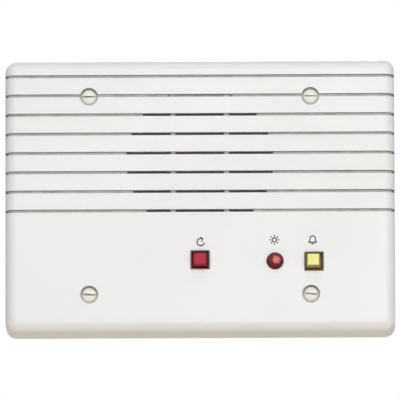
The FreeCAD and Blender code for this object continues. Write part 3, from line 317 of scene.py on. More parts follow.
def buildTurnedRings():
    # Concentric tool marks or pressed ridges about an axis along Y.
    sizes = {"CentreX": 0.0, "CentreZ": 0.0, "Pitch": 0.0004}
    tree, given, out = startGroup("turnedRings", sizes, ["Height", "Radius"])
    centre = resultOf(tree, "ShaderNodeCombineXYZ", {"X": given["CentreX"], "Z": given["CentreZ"]})
    offset = vectorMath(tree, "SUBTRACT", objectPlace(tree), centre)["Vector"]
    flat = vectorMath(tree, "MULTIPLY", offset, (1.0, 0.0, 1.0))["Vector"]
    radius = vectorMath(tree, "LENGTH", flat)["Value"]
    turns = times(tree, ratio(tree, radius, given["Pitch"]), 2 * math.pi)
    tree.links.new(calc(tree, "SINE", turns), out["Height"])
    tree.links.new(radius, out["Radius"])
    return tree


def buildFineSpeckle():
    # Small sharp-edged flecks; Share is how much of the surface they cover.
    tree, given, out = startGroup("fineSpeckle", {"Scale": 2500.0, "Share": 0.3}, ["Mask"])
    noise = noiseAt(tree, objectPlace(tree), given["Scale"], 1.0)
    edge = remap(tree, given["Share"], 0.0, 1.0, 0.75, 0.25)
    tree.links.new(remap(tree, minus(tree, noise, edge), 0.0, 0.04), out["Mask"])
    return tree


def buildRecessRim():
    # Painted shade under the upper rim of the four screw recesses.
    sizes = {"Across": 0.046, "Up": 0.0417, "Inner": 0.0028, "Outer": 0.0037, "Rear": -0.018}
    tree, given, out = startGroup("recessRimShade", sizes, ["Mask"])
    split = addNode(tree, "ShaderNodeSeparateXYZ", {0: objectPlace(tree)}).outputs
    across = minus(tree, calc(tree, "ABSOLUTE", split["X"], 0.0), given["Across"])
    side = calc(tree, "SIGN", split["Z"], 0.0)
    up = minus(tree, split["Z"], times(tree, side, given["Up"]))
    squares = plus(tree, times(tree, across, across), times(tree, up, up))
    radius = calc(tree, "POWER", squares, 0.5)
    begins = remap(tree, minus(tree, radius, given["Inner"]), -0.0002, 0.0002)
    ends = remap(tree, minus(tree, radius, given["Outer"]), 0.00006, -0.00002)
    above = remap(tree, ratio(tree, up, radius), -0.5, 0.7)
    front = calc(tree, "LESS_THAN", split["Y"], given["Rear"])
    ringed = times(tree, times(tree, begins, ends), front)
    tree.links.new(times(tree, ringed, above), out["Mask"])
    return tree


effects = {
    "grain": buildMouldGrain(),
    "edgeMask": buildEdgeRub(),
    "dustAndShade": buildSettledDust(),
    "weave": buildPlainWeave(),
    "rings": buildTurnedRings(),
    "speckle": buildFineSpeckle(),
    "rim": buildRecessRim(),
}
print("shared effects built:", ", ".join(effects))


# Finishes


def startFinish(name):
    material = bpy.data.materials.new(name)
    material.use_nodes = True
    tree = material.node_tree
    shader = next(node for node in tree.nodes if node.type == "BSDF_PRINCIPLED")
    return material, tree, shader


def linkBump(tree, shader, height, strength, distance):
    bump = addNode(tree, "ShaderNodeBump", {"Strength": strength, "Distance": distance, "Height": height})
    tree.links.new(bump.outputs[0], shader.inputs["Normal"])


def startToned(name, look):
    # A finish with its grain, and its colour and roughness that follow the slow mottling.
    material, tree, shader = startFinish(name)
    grain = placeGroup(tree, effects["grain"], Grain=look["grain"], Mottle=look["mottle"])
    colour = blendColour(tree, grain["Tone"], screenColour(*look["colour"]), screenColour(*look["shade"]))
    rough = remap(tree, grain["Tone"], 0.0, 1.0, *look["rough"])
    return material, tree, shader, grain["Height"], colour, rough


def laidOver(tree, mask, amount, under, over):
    # A second colour over the first, where the mask says and by the amount.
    return blendColour(tree, times(tree, mask, amount), under, screenColour(*over))


def linkSurface(tree, shader, colour, rough, values=None):
    tree.links.new(colour, shader.inputs["Base Color"])
    tree.links.new(rough, shader.inputs["Roughness"])
    for label, value in (values or {}).items():
        shader.inputs[label].default_value = value


wearAndShade = {
    "rubRadius": 0.0004, "rubBreakup": 300.0, "rubSmooths": 0.12,
    "dustAndShadeReach": 0.003, "dustAndShadeFull": 0.3, "dustAndShadeBreakup": 220.0, "dustDulls": 0.3,
}

screwRecess = {"Across": 0.0460375, "Up": 0.04167, "Outer": 0.00375, "Rear": -0.018}


def makeFinish(name, look):
    # Grain and mottling, then rubbed edges, settled dust and rims where the look asks for them.
    material, tree, shader, height, colour, rough = startToned(name, look)
    if "flecks" in look:
        flecks = placeGroup(tree, effects["speckle"], Scale=look["fleckScale"], Share=look["fleckShare"])
        colour = blendColour(tree, flecks["Mask"], colour, screenColour(*look["flecks"]))
    if "rubbed" in look:
        radius = look.get("rubRadius", wearAndShade["rubRadius"])
        edgeMask = placeGroup(tree, effects["edgeMask"], Radius=radius, Breakup=wearAndShade["rubBreakup"])["Mask"]
        edgeMask = times(tree, edgeMask, look["rubAmount"])
        colour = blendColour(tree, edgeMask, colour, screenColour(*look["rubbed"]))
        rough = minus(tree, rough, times(tree, edgeMask, wearAndShade["rubSmooths"]), clamp=True)
    # darker colour in corners, grooves and slots: dust, and painted shade in those hollows
    if "dustAndShade" in look:
        reach, full = (look.get(size, wearAndShade[size]) for size in ("dustAndShadeReach", "dustAndShadeFull"))
        hollowMasks = placeGroup(tree, effects["dustAndShade"], Reach=reach, Breakup=wearAndShade["dustAndShadeBreakup"], Full=full)
        dustAndShade = times(tree, hollowMasks["Mask"], look["dustAndShadeAmount"])
        colour = blendColour(tree, dustAndShade, colour, screenColour(*look["dustAndShade"]))
        # the deepest hollows, such as the housing's grooves, get a painted shade colour
        if "grime" in look:
            colour = laidOver(tree, hollowMasks["Deep"], look["grimeAmount"], colour, look["grime"])
        rough = plus(tree, rough, times(tree, dustAndShade, wearAndShade["dustDulls"]), clamp=True)
    # painted shade under the upper rim of each screw recess and round the top of each screw head
    if "rim" in look:
        rim = placeGroup(tree, effects["rim"], Inner=look["rimInner"], **screwRecess)["Mask"]
        colour = laidOver(tree, rim, look["rimAmount"], colour, look["rim"])
    linkSurface(tree, shader, colour, rough, {
        "Metallic": look.get("metal", 0.0), "Coat Weight": look.get("coat", 0.0), "Coat Roughness": 0.15,
        "Subsurface Weight": look.get("glowThrough", 0.0), "Subsurface Scale": 0.001,
    })
    linkBump(tree, shader, height, look["bump"], look.get("bumpDepth", 0.00006))
    return material


plainLooks = {  # colours as on the screen, scales per metre, reaches in metres
    # the housing's dust-and-shade, crease shade and rim colours are painted shade in its grooves, slots and
    # screw recesses
    "housing": {
        "colour": (235, 237, 241), "shade": (232, 234, 237), "rough": (0.36, 0.44), "grain": 1700.0,
        "mottle": 22.0, "bump": 0.1, "dustAndShade": (184, 180, 179), "dustAndShadeAmount": 1.0, "dustAndShadeReach": 0.0026,
        "dustAndShadeFull": 0.68, "grime": (112, 105, 103), "grimeAmount": 0.75, "rubbed": (243, 243, 242),
        "rubAmount": 0.35, "rim": (112, 109, 97), "rimAmount": 0.72, "rimInner": 0.0026,
    },
    # the screw paint's dust-and-shade colour is painted shade in the driver slots, its rim colour painted
    # shade round each head's upper edge
    "screwPaint": {
        "colour": (246, 246, 240), "shade": (239, 239, 231), "rough": (0.28, 0.38), "grain": 2500.0,
        "mottle": 300.0, "bump": 0.08, "rubbed": (196, 190, 176), "rubAmount": 0.45,
        "rubRadius": 0.0002, "dustAndShade": (84, 80, 70), "dustAndShadeAmount": 0.9, "dustAndShadeReach": 0.0016, "coat": 0.3,
        "rim": (112, 109, 97), "rimAmount": 0.62, "rimInner": 0.00295,
    },
    "zincPlate": {
        "colour": (190, 191, 190), "shade": (170, 172, 174), "rough": (0.36, 0.5), "grain": 900.0,
        "mottle": 120.0, "bump": 0.07, "metal": 1.0, "rubbed": (216, 216, 214), "rubAmount": 0.6,
        "dustAndShade": (92, 88, 82), "dustAndShadeAmount": 0.3, "dustAndShadeReach": 0.003,
    },
    "springSteel": {
        "colour": (172, 173, 176), "shade": (142, 143, 148), "rough": (0.22, 0.34), "grain": 4000.0,
        "mottle": 700.0, "bump": 0.05, "metal": 1.0,
    },
    "brass": {
        "colour": (214, 181, 104), "shade": (188, 150, 78), "rough": (0.24, 0.42), "grain": 2200.0,
        "mottle": 260.0, "bump": 0.06, "metal": 1.0, "dustAndShade": (96, 74, 42), "dustAndShadeAmount": 0.35,
        "dustAndShadeReach": 0.001,
    },
    "tin": {
        "colour": (206, 206, 203), "shade": (182, 182, 180), "rough": (0.25, 0.45), "grain": 3200.0,
        "mottle": 500.0, "bump": 0.1, "metal": 1.0,
    },
    "solder": {
        "colour": (200, 201, 202), "shade": (170, 172, 175), "rough": (0.16, 0.36), "grain": 2600.0,
        "mottle": 800.0, "bump": 0.16, "metal": 1.0,
    },
    "blackPlastic": {
        "colour": (37, 37, 39), "shade": (29, 29, 31), "rough": (0.38, 0.52), "grain": 2600.0,
        "mottle": 160.0, "bump": 0.14, "rubbed": (74, 74, 76), "rubAmount": 0.45, "rubRadius": 0.0002,
        "dustAndShade": (78, 74, 68), "dustAndShadeAmount": 0.12,
    },
    "whitePlastic": {
        "colour": (233, 231, 222), "shade": (224, 221, 209), "rough": (0.34, 0.46), "grain": 2400.0,
        "mottle": 160.0, "bump": 0.08, "dustAndShade": (150, 142, 126), "dustAndShadeAmount": 0.25, "glowThrough": 0.1,
    },
    "greenPlastic": {
        "colour": (44, 124, 74), "shade": (36, 108, 62), "rough": (0.34, 0.48), "grain": 2200.0,
        "mottle": 120.0, "bump": 0.1, "rubbed": (84, 156, 112), "rubAmount": 0.4, "rubRadius": 0.0003,
        "dustAndShade": (96, 108, 88), "dustAndShadeAmount": 0.3,
    },
    "bluePlastic": {
        "colour": (38, 78, 152), "shade": (30, 64, 130), "rough": (0.3, 0.44), "grain": 2400.0,
        "mottle": 200.0, "bump": 0.1, "rubbed": (86, 122, 184), "rubAmount": 0.4, "rubRadius": 0.0002,
        "dustAndShade": (92, 100, 116), "dustAndShadeAmount": 0.25,
    },
    "sleeveFilm": {
        "colour": (30, 38, 78), "shade": (24, 30, 64), "rough": (0.2, 0.34), "grain": 1800.0,
        "mottle": 240.0, "bump": 0.1, "coat": 0.4, "dustAndShade": (84, 86, 96), "dustAndShadeAmount": 0.25,
    },
    "resistorCoat": {
        "colour": (214, 190, 146), "shade": (200, 172, 126), "rough": (0.3, 0.46), "grain": 3000.0,
        "mottle": 420.0, "bump": 0.16, "coat": 0.3,
    },
    "laminate": {
        "colour": (150, 98, 56), "shade": (126, 78, 42), "rough": (0.42, 0.58), "grain": 1600.0,
        "mottle": 420.0, "bump": 0.14, "flecks": (176, 128, 84), "fleckShare": 0.28,
        "fleckScale": 1500.0,
    },
    "ferrite": {
        "colour": (66, 66, 69), "shade": (52, 52, 55), "rough": (0.46, 0.66), "grain": 2200.0,
        "mottle": 240.0, "bump": 0.3, "rubbed": (112, 112, 116), "rubAmount": 0.55, "rubRadius": 0.0005,
        "flecks": (92, 92, 96), "fleckShare": 0.16, "fleckScale": 2600.0,
    },
    "rubberFoam": {
        "colour": (64, 64, 67), "shade": (48, 48, 51), "rough": (0.82, 0.95), "grain": 2600.0,
        "mottle": 500.0, "bump": 0.8, "bumpDepth": 0.0002, "flecks": (30, 30, 32), "fleckShare": 0.34,
        "fleckScale": 2600.0,
    },
    "coatedRoll": {
        "colour": (38, 38, 40), "shade": (29, 29, 31), "rough": (0.5, 0.66), "grain": 2800.0,
        "mottle": 140.0, "bump": 0.35, "dustAndShade": (84, 80, 74), "dustAndShadeAmount": 0.2,
    },
    "redWire": {
        "colour": (178, 28, 30), "shade": (160, 22, 25), "rough": (0.32, 0.44), "grain": 2400.0,
        "mottle": 180.0, "bump": 0.08, "coat": 0.15,
    },
    "blackWire": {
        "colour": (34, 34, 36), "shade": (26, 26, 28), "rough": (0.32, 0.46), "grain": 2400.0,
        "mottle": 180.0, "bump": 0.08, "coat": 0.15,
    },
    # the collar's dust-and-shade colour is mostly painted shade in the corners of its well
    "greyCollar": {
        "colour": (132, 124, 117), "shade": (118, 111, 105), "rough": (0.4, 0.55), "grain": 2400.0,
        "mottle": 200.0, "bump": 0.12, "dustAndShade": (40, 37, 34), "dustAndShadeAmount": 0.7, "dustAndShadeReach": 0.002,
    },
    "maskedTrack": {
        "colour": (44, 128, 74), "shade": (36, 114, 64), "rough": (0.26, 0.36), "grain": 1400.0,
        "mottle": 300.0, "bump": 0.08, "coat": 0.4,
    },
    "printInk": {
        "colour": (74, 70, 66), "shade": (92, 88, 84), "rough": (0.5, 0.62), "grain": 5000.0,
        "mottle": 1600.0, "bump": 0.12,
    },
    "boardInk": {
        "colour": (226, 226, 218), "shade": (204, 206, 196), "rough": (0.5, 0.62), "grain": 4200.0,
        "mottle": 1600.0, "bump": 0.12,
    },
    "canAluminium": {
        "colour": (206, 208, 211), "shade": (188, 190, 194), "rough": (0.24, 0.34), "grain": 3400.0,
        "mottle": 500.0, "bump": 0.08, "metal": 1.0,
    },
    "stripeInk": {
        "colour": (196, 200, 206), "shade": (182, 186, 194), "rough": (0.26, 0.36), "grain": 2400.0,
        "mottle": 400.0, "bump": 0.06, "coat": 0.3,
    },
    "ventScore": {
        "colour": (96, 98, 104), "shade": (78, 80, 86), "rough": (0.4, 0.55), "grain": 3400.0,
        "mottle": 500.0, "bump": 0.08, "metal": 1.0,
    },
    "glueBead": {
        "colour": (150, 112, 56), "shade": (122, 86, 40), "rough": (0.18, 0.34), "grain": 1200.0,
        "mottle": 420.0, "bump": 0.2, "coat": 0.5,
    },
}

bandPaint = {"rough": (0.3, 0.42), "grain": 4000.0, "mottle": 900.0, "bump": 0.1}
bandPaints = {
    "bandBrown": {"colour": (96, 52, 28), "shade": (82, 42, 22), "coat": 0.3},
    "bandBlack": {"colour": (30, 28, 28), "shade": (22, 21, 21), "coat": 0.3},
    "bandOrange": {"colour": (222, 108, 34), "shade": (206, 94, 26), "coat": 0.3},
    "bandRed": {"colour": (186, 34, 32), "shade": (168, 26, 26), "coat": 0.3},
    "bandGold": {"colour": (190, 146, 60), "shade": (170, 124, 44), "rough": (0.26, 0.4), "metal": 0.7},
}
plainLooks.update({name: {**bandPaint, **paint} for name, paint in bandPaints.items()})


wovenLooks = {
    "grilleFabric": {  # dark open weave, stretched flat
        "threads": 2100.0, "colour": (154, 141, 146), "shade": (136, 123, 128), "gap": (64, 57, 61),
        "grain": 5200.0, "mottle": 90.0, "rough": (0.78, 0.92), "sheen": 0.25, "bump": 0.8,
        "depth": 0.00012,
    },
    "spiderCloth": {  # cotton dipped in resin, a fine weave under an amber skin
        "threads": 3200.0, "colour": (206, 162, 92), "shade": (184, 136, 70), "gap": (120, 82, 38),
        "grain": 2400.0, "mottle": 160.0, "rough": (0.5, 0.7), "sheen": 0.0, "bump": 0.6, "depth": 0.00008,
    },
}


def makeWovenFinish(name, look):
    material, tree, shader, _, colour, rough = startToned(name, look)
    weave = placeGroup(tree, effects["weave"], Threads=look["threads"])
    cloth = blendColour(tree, weave["Gap"], colour, screenColour(*look["gap"]))
    linkSurface(tree, shader, cloth, rough, {"Sheen Weight": look["sheen"], "Sheen Roughness": 0.5})
    linkBump(tree, shader, weave["Height"], look["bump"], look["depth"])
    return material


conePulp = {
    "ridgePitch": 0.0016, "ridgeShare": 0.5, "grain": 1900.0, "mottle": 380.0, "rough": (0.72, 0.9),
    "colour": (78, 75, 70), "shade": (60, 57, 54), "fibre": (112, 106, 98), "fibreAmount": 0.5,
    "fibreScale": 1700.0, "fibreShare": 0.3, "bump": 0.5, "depth": 0.00012,
}


def makeConePaper(look):
    # Pressed pulp with fibres and faint ridges round the cone.
    material, tree, shader, height, colour, rough = startToned("conePaper", look)
    rings = placeGroup(tree, effects["rings"], CentreZ=speakerZ * mm, Pitch=look["ridgePitch"])
    fibres = placeGroup(tree, effects["speckle"], Scale=look["fibreScale"], Share=look["fibreShare"])
    pulp = laidOver(tree, fibres["Mask"], look["fibreAmount"], colour, look["fibre"])
    linkSurface(tree, shader, pulp, rough)
    ridges = plus(tree, times(tree, rings["Height"], look["ridgeShare"]), height)
    linkBump(tree, shader, ridges, look["bump"], look["depth"])
    return material


coilEnamel = {
    "turnPitch": 0.00016, "grain": 3000.0, "mottle": 500.0, "rough": (0.2, 0.34),
    "colour": (188, 104, 58), "shade": (160, 80, 40), "gap": (70, 30, 14), "bump": 0.6, "depth": 0.00004,
}


def makeCoilWire(look):
    # Turns of enamelled wire side by side along Y.
    material, tree, shader, _, colour, rough = startToned("coilWire", look)
    along = addNode(tree, "ShaderNodeSeparateXYZ", {0: objectPlace(tree)}).outputs["Y"]
    turns = calc(tree, "SINE", times(tree, along, 2 * math.pi / look["turnPitch"]))
    gaps = remap(tree, turns, -0.6, -1.0)
    copper = blendColour(tree, gaps, colour, screenColour(*look["gap"]))
    linkSurface(tree, shader, copper, rough, {"Metallic": 1.0})
    linkBump(tree, shader, turns, look["bump"], look["depth"])
    return material


greenMask = {
    "threads": 900.0, "grain": 1300.0, "mottle": 110.0, "rough": (0.24, 0.36),
    "colour": (18, 94, 50), "shade": (14, 80, 42), "fibre": (48, 120, 78), "fibreAmount": 0.25,
    "edge": (150, 156, 110), "edgeAmount": 0.7, "edgeRadius": 0.0003, "bump": 0.12, "depth": 0.00005,
}


def makeBoardMask(look):
    # Green mask on glass laminate: glossy, with the fibre weave just showing.
    material, tree, shader, _, colour, rough = startToned("boardMask", look)
    weave = placeGroup(tree, effects["weave"], Threads=look["threads"])
    edgeMask = placeGroup(tree, effects["edgeMask"], Radius=look["edgeRadius"], Breakup=400.0)["Mask"]
    mask = laidOver(tree, weave["Gap"], look["fibreAmount"], colour, look["fibre"])
    edged = laidOver(tree, edgeMask, look["edgeAmount"], mask, look["edge"])
    linkSurface(tree, shader, edged, rough, {"Coat Weight": 0.4, "Coat Roughness": 0.12})
    linkBump(tree, shader, weave["Height"], look["bump"], look["depth"])
    return material


latheFinish = {
    "toolPitch": 0.00035, "toolShare": 0.35, "grain": 1200.0, "mottle": 140.0, "rough": (0.24, 0.4),
    "colour": (198, 197, 190), "shade": (176, 175, 168), "rubbed": (226, 226, 222), "rubAmount": 0.5,
    "bump": 0.16, "depth": 0.00004,
}


def makeTurnedSteel(look):
    # Plated back plate and pole, with tool marks round the speaker's axis.
    material, tree, shader, height, colour, rough = startToned("turnedSteel", look)
    rings = placeGroup(tree, effects["rings"], CentreZ=speakerZ * mm, Pitch=look["toolPitch"])
    edgeMask = placeGroup(tree, effects["edgeMask"], Radius=wearAndShade["rubRadius"], Breakup=260.0)["Mask"]
    plate = laidOver(tree, edgeMask, look["rubAmount"], colour, look["rubbed"])
    linkSurface(tree, shader, plate, rough, {"Metallic": 1.0})
    marks = plus(tree, times(tree, rings["Height"], look["toolShare"]), height)
    linkBump(tree, shader, marks, look["bump"], look["depth"])
    return material


capGloss = {
    "grain": 2200.0, "mottle": 180.0, "rough": (0.4, 0.5), "rimRadius": 0.0003, "sideShadeAmount": 0.95,
    "bump": 0.06, "depth": 0.00005,
}
capLooks = {
    # rim is a painted highlight round each cap's face, side a painted shade down its sides
    "redCap": {
        "colour": (186, 18, 50), "shade": (176, 14, 46), "side": (148, 20, 42),
        "rim": (222, 112, 134), "rimAmount": 0.5,
    },
    "yellowCap": {
        "colour": (246, 245, 158), "shade": (240, 238, 146), "side": (184, 158, 76),
        "rim": (255, 254, 214), "rimAmount": 0.4,
    },
}


def makeCapPlastic(name, look):
    # Glossy cap: a paler rim that is a painted highlight along the edge of its face, and painted shade
    # darkening its sides.
    material, tree, shader, height, colour, rough = startToned(name, look)
    edgeMask = placeGroup(tree, effects["edgeMask"], Radius=look["rimRadius"], Breakup=1.0)["Mask"]
    normal = addNode(tree, "ShaderNodeNewGeometry").outputs["Normal"]
    facing = addNode(tree, "ShaderNodeSeparateXYZ", {0: normal}).outputs["Y"]
    # painted shade on the faces that turn away from the front
    sideShadeMask = remap(tree, facing, -0.985, -0.86)
    face = laidOver(tree, sideShadeMask, look["sideShadeAmount"], colour, look["side"])
    # painted highlight along the rounded edge of the face
    face = laidOver(tree, edgeMask, look["rimAmount"], face, look["rim"])
    linkSurface(tree, shader, face, rough, {
        "Subsurface Weight": 0.12, "Subsurface Scale": 0.0008, "Specular IOR Level": 0.25,
    })
    linkBump(tree, shader, height, look["bump"], look["depth"])
    return material


lampAcrylic = {
    # glow is a painted highlight round the spot, rim a painted shade at the lens edge
    "centre": (0.0311, -0.0278), "spot": (0.0317, -0.0276), "grain": 1800.0, "mottle": 300.0,
    "colour": (140, 32, 30), "shade": (126, 24, 26), "rim": (66, 12, 12), "glow": (232, 128, 128),
    "rimRadii": (0.0022, 0.0033), "highlightRadii": (0.0019, 0.0012), "rough": (0.2, 0.3),
    "bump": 0.05, "depth": 0.00005,
}


def makeLampRed(name, look, highlightAmount):
    # Red acrylic with a painted highlight, a pale pink spot just right of its middle, and painted shade
    # darkening it towards the rim.
    material, tree, shader, height, colour, rough = startToned(name, look)
    lens, spot = (placeGroup(tree, effects["rings"], CentreX=x, CentreZ=z, Pitch=0.0003)["Radius"]
                  for x, z in (look["centre"], look["spot"]))
    # painted shade towards the lens edge
    outer = remap(tree, lens, *look["rimRadii"])
    red = blendColour(tree, outer, colour, screenColour(*look["rim"]))
    # painted highlight round the spot
    red = laidOver(tree, remap(tree, spot, *look["highlightRadii"]), highlightAmount, red, look["glow"])
    linkSurface(tree, shader, red, rough, {
        "Transmission Weight": 0.15, "IOR": 1.49, "Specular IOR Level": 0.3,
    })
    linkBump(tree, shader, height, look["bump"], look["depth"])
    return material


finishes = {name: makeFinish(name, look) for name, look in plainLooks.items()}
finishes.update({name: makeWovenFinish(name, look) for name, look in wovenLooks.items()})
finishes.update({name: makeCapPlastic(name, {**capGloss, **look}) for name, look in capLooks.items()})
finishes.update({
    "conePaper": makeConePaper(conePulp),
    "coilWire": makeCoilWire(coilEnamel),
    "boardMask": makeBoardMask(greenMask),
    "turnedSteel": makeTurnedSteel(latheFinish),
    "lensRed": makeLampRed("lensRed", lampAcrylic, 0.9),
    "diodeRed": makeLampRed("diodeRed", lampAcrylic, 0.3),
})
print("finishes made:", len(finishes))


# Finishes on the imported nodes

slotFinish = {
    "housing": "housing", "cream_screw": "screwPaint", "cloth": "grilleFabric", "gasket": "rubberFoam",
    "steel": "zincPlate", "surround": "coatedRoll", "cone": "conePaper", "copper": "coilWire",
    "spider": "spiderCloth", "ferrite": "ferrite", "laminate": "laminate", "brass": "brass",
    "red_wire": "redWire", "black_wire": "blackWire", "white_plastic": "whitePlastic", "board": "boardMask",
    "red_lens": "lensRed", "black_plastic": "blackPlastic", "tin": "tin", "green_plastic": "greenPlastic",
    "blue_plastic": "bluePlastic", "capacitor_sleeve": "sleeveFilm", "resistor_coat": "resistorCoat",
    "red_cap": "redCap", "yellow_cap": "yellowCap", "spring_steel": "springSteel",
}

nodeFinish = {
    "speaker_pole_piece": "turnedSteel", "emergency_diode": "diodeRed",
    "reset_switch_cover": "greyCollar", "call_switch_cover": "greyCollar",
}


def dressNodes():
    for name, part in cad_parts.items():
        for slot in part.material_slots:
            slotName = slot.material.name.split(".")[0]
            slot.material = finishes[nodeFinish.get(name, slotFinish[slotName])]


# Meshes


def smoothShade(mesh, sharpAngle=40.0):
    mesh.shade_smooth()
    mesh.set_sharp_from_angle(angle=math.radians(sharpAngle))
    return mesh


def finishMesh(bm, name, sharpAngle=40.0):
    bmesh.ops.recalc_face_normals(bm, faces=bm.faces)
    mesh = bpy.data.meshes.new(name)
    bm.to_mesh(mesh)
    bm.free()
    return smoothShade(mesh, sharpAngle)


def bridgeRings(bm, rings):
    # Skins each ring of corners to the next and closes the first and the last.
    for first, second in zip(rings, rings[1:]):
        for step in range(len(first)):
            after = (step + 1) % len(first)
            bm.faces.new((first[step], first[after], second[after], second[step]))
    bm.faces.new(rings[0])
    bm.faces.new(rings[-1])


def evaluatedMesh(holder, **options):
    # What an object's modifiers, curve or text give, as a plain mesh; the object goes.
    bpy.context.view_layer.update()
    graph = bpy.context.evaluated_depsgraph_get()
    mesh = bpy.data.meshes.new_from_object(holder.evaluated_get(graph), depsgraph=graph, **options)
    holder.modifiers.clear()
    bpy.data.objects.remove(holder)
    return mesh


def joinMeshes(name, meshes):
    bm = bmesh.new()
    for mesh in meshes:
        bm.from_mesh(mesh)
    joined = bpy.data.meshes.new(name)
    bm.to_mesh(joined)
    bm.free()
    return smoothShade(joined, 35.0)


def spinMesh(name, profile, x=0.0, z=0.0, segments=96, closed=False):
    # Turns (radius, y) points about an axis along Y; a point on the axis becomes a pole.
    bm = bmesh.new()
    rings = []
    for radius, y in profile:
        turns = [2 * math.pi * step / segments for step in range(segments if radius > 1e-6 else 1)]
        places = [(x + radius * math.cos(turn), z + radius * math.sin(turn)) for turn in turns]
        rings.append([bm.verts.new((across * mm, y * mm, up * mm)) for across, up in places])
    for first, second in zip(rings, rings[1:] + ([rings[0]] if closed else [])):
        for step in range(segments):
            after = (step + 1) % segments
            corners = [first[step % len(first)], first[after % len(first)]]
            corners += [second[after % len(second)], second[step % len(second)]]
            corners = list(dict.fromkeys(corners))
            if len(corners) > 2:
                bm.faces.new(corners)
    return finishMesh(bm, name)


def placePiece(name, mesh, finish, body, slot, stands=()):
    piece = linkedObject(name, mesh)
    mesh.materials.clear()
    mesh.materials.append(finishes[finish])
    if body:
        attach(piece, body)
    if stands:
        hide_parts(*stands)
    return piece


# Geometry Nodes


def startTree(name, sizes):
    tree = bpy.data.node_groups.new(name, "GeometryNodeTree")
    tree.interface.new_socket("Geometry", in_out="INPUT", socket_type="NodeSocketGeometry")
    kinds = {float: "NodeSocketFloat", int: "NodeSocketInt", tuple: "NodeSocketVector"}
    for label, value in sizes.items():
        kind = "NodeSocketObject" if value is None else kinds[type(value)]
        socket = tree.interface.new_socket(label, in_out="INPUT", socket_type=kind)
        if value is not None:
            socket.default_value = value
    tree.interface.new_socket("Geometry", in_out="OUTPUT", socket_type="NodeSocketGeometry")
    return tree, addNode(tree, "NodeGroupInput").outputs


def endTree(tree, geometry, finish):
    real = resultOf(tree, "GeometryNodeRealizeInstances", {"Geometry": geometry})
    paint = {"Geometry": real, "Material": finishes[finish]}
    addNode(tree, "NodeGroupOutput", {"Geometry": resultOf(tree, "GeometryNodeSetMaterial", paint)})
    return tree


def growMesh(name, startMesh, tree, sizes):
    # Runs the tree on the start mesh and returns what it makes as a plain mesh.
    holder = linkedObject(name, startMesh)
    modifier = holder.modifiers.new("grow", "NODES")
    modifier.node_group = tree
    for item in tree.interface.items_tree:
        if item.item_type == "SOCKET" and item.in_out == "INPUT" and item.name in sizes:
            modifier[item.identifier] = sizes[item.name]
    grown = evaluatedMesh(holder, preserve_all_data_layers=True)
    grown.name = name
    return grown


def pointMesh(name, places, turns=None, widths=None, axis="Y"):
    # A vertex for each place, with its turn about Y in degrees and its width across the axis.
    mesh = bpy.data.meshes.new(name)
    mesh.from_pydata([(x * mm, y * mm, z * mm) for x, y, z in places], [], [])
    turn = mesh.attributes.new("turn", "FLOAT_VECTOR", "POINT")
    width = mesh.attributes.new("width", "FLOAT_VECTOR", "POINT")
    for index in range(len(places)):
        angle = math.radians(turns[index]) if turns else 0.0
        wide = widths[index] if widths else 1.0
        turn.data[index].vector = (0.0, angle, 0.0)
        width.data[index].vector = (1.0 if axis == "X" else wide, 1.0 if axis == "Y" else wide, wide)
    return mesh


def copiesOn(tree, given, shape, more=None):
    inputs = {"Points": given["Geometry"], "Instance": shape, **(more or {})}
    return resultOf(tree, "GeometryNodeInstanceOnPoints", inputs)


def scatterTree(name, finish):
    # One copy of the shape on every vertex of the start mesh.
    tree, given = startTree(name, {"Shape": None, "Size": 1.0})
    shape = addNode(tree, "GeometryNodeObjectInfo", {"Object": given["Shape"]}).outputs["Geometry"]
    stored = "GeometryNodeInputNamedAttribute"
    turn = resultOf(tree, stored, {"Name": "turn"}, data_type="FLOAT_VECTOR")
    width = resultOf(tree, stored, {"Name": "width"}, data_type="FLOAT_VECTOR")
    sized = resultOf(tree, "ShaderNodeVectorMath", {0: width, 3: given["Size"]}, operation="SCALE")
    return endTree(tree, copiesOn(tree, given, shape, {"Rotation": turn, "Scale": sized}), finish)


def scatteredMesh(name, shapeMesh, spots, finish):
    shape = linkedObject(name + "Shape", shapeMesh)
    grown = growMesh(name, spots, scatterTree(name + "Tree", finish), {"Shape": shape, "Size": 1.0})
    bpy.data.objects.remove(shape)
    return grown


def scatter(name, shapeMesh, places, finish, slot, turns=None, widths=None, axis="Y"):
    spots = pointMesh(name, places, turns, widths, axis)
    grown = scatteredMesh(name, shapeMesh, spots, finish)
    return placePiece(name, grown, finish, "station", slot)


def ribbonMesh(name, lines, closed=False):
    # Lines of (x, z) places, laid in XY until the tree stands them up.
    points, edges = [], []
    for line in lines:
        first = len(points)
        points += [(x * mm, z * mm, 0.0) for x, z in line]
        edges += [(first + step, first + step + 1) for step in range(len(line) - 1)]
        if closed:
            edges.append((len(points) - 1, first))
    mesh = bpy.data.meshes.new(name)
    mesh.from_pydata(points, edges, [])
    return mesh


def sweep(tree, curve, profile):
    inputs = {"Curve": curve, "Profile Curve": profile, "Fill Caps": True}
    return resultOf(tree, "GeometryNodeCurveToMesh", inputs)


def moved(tree, geometry, shift=None, turn=None):
    inputs = {"Geometry": geometry}
    if shift is not None:
        inputs["Translation"] = shift
    if turn is not None:
        inputs["Rotation"] = turn
    return resultOf(tree, "GeometryNodeTransform", inputs)


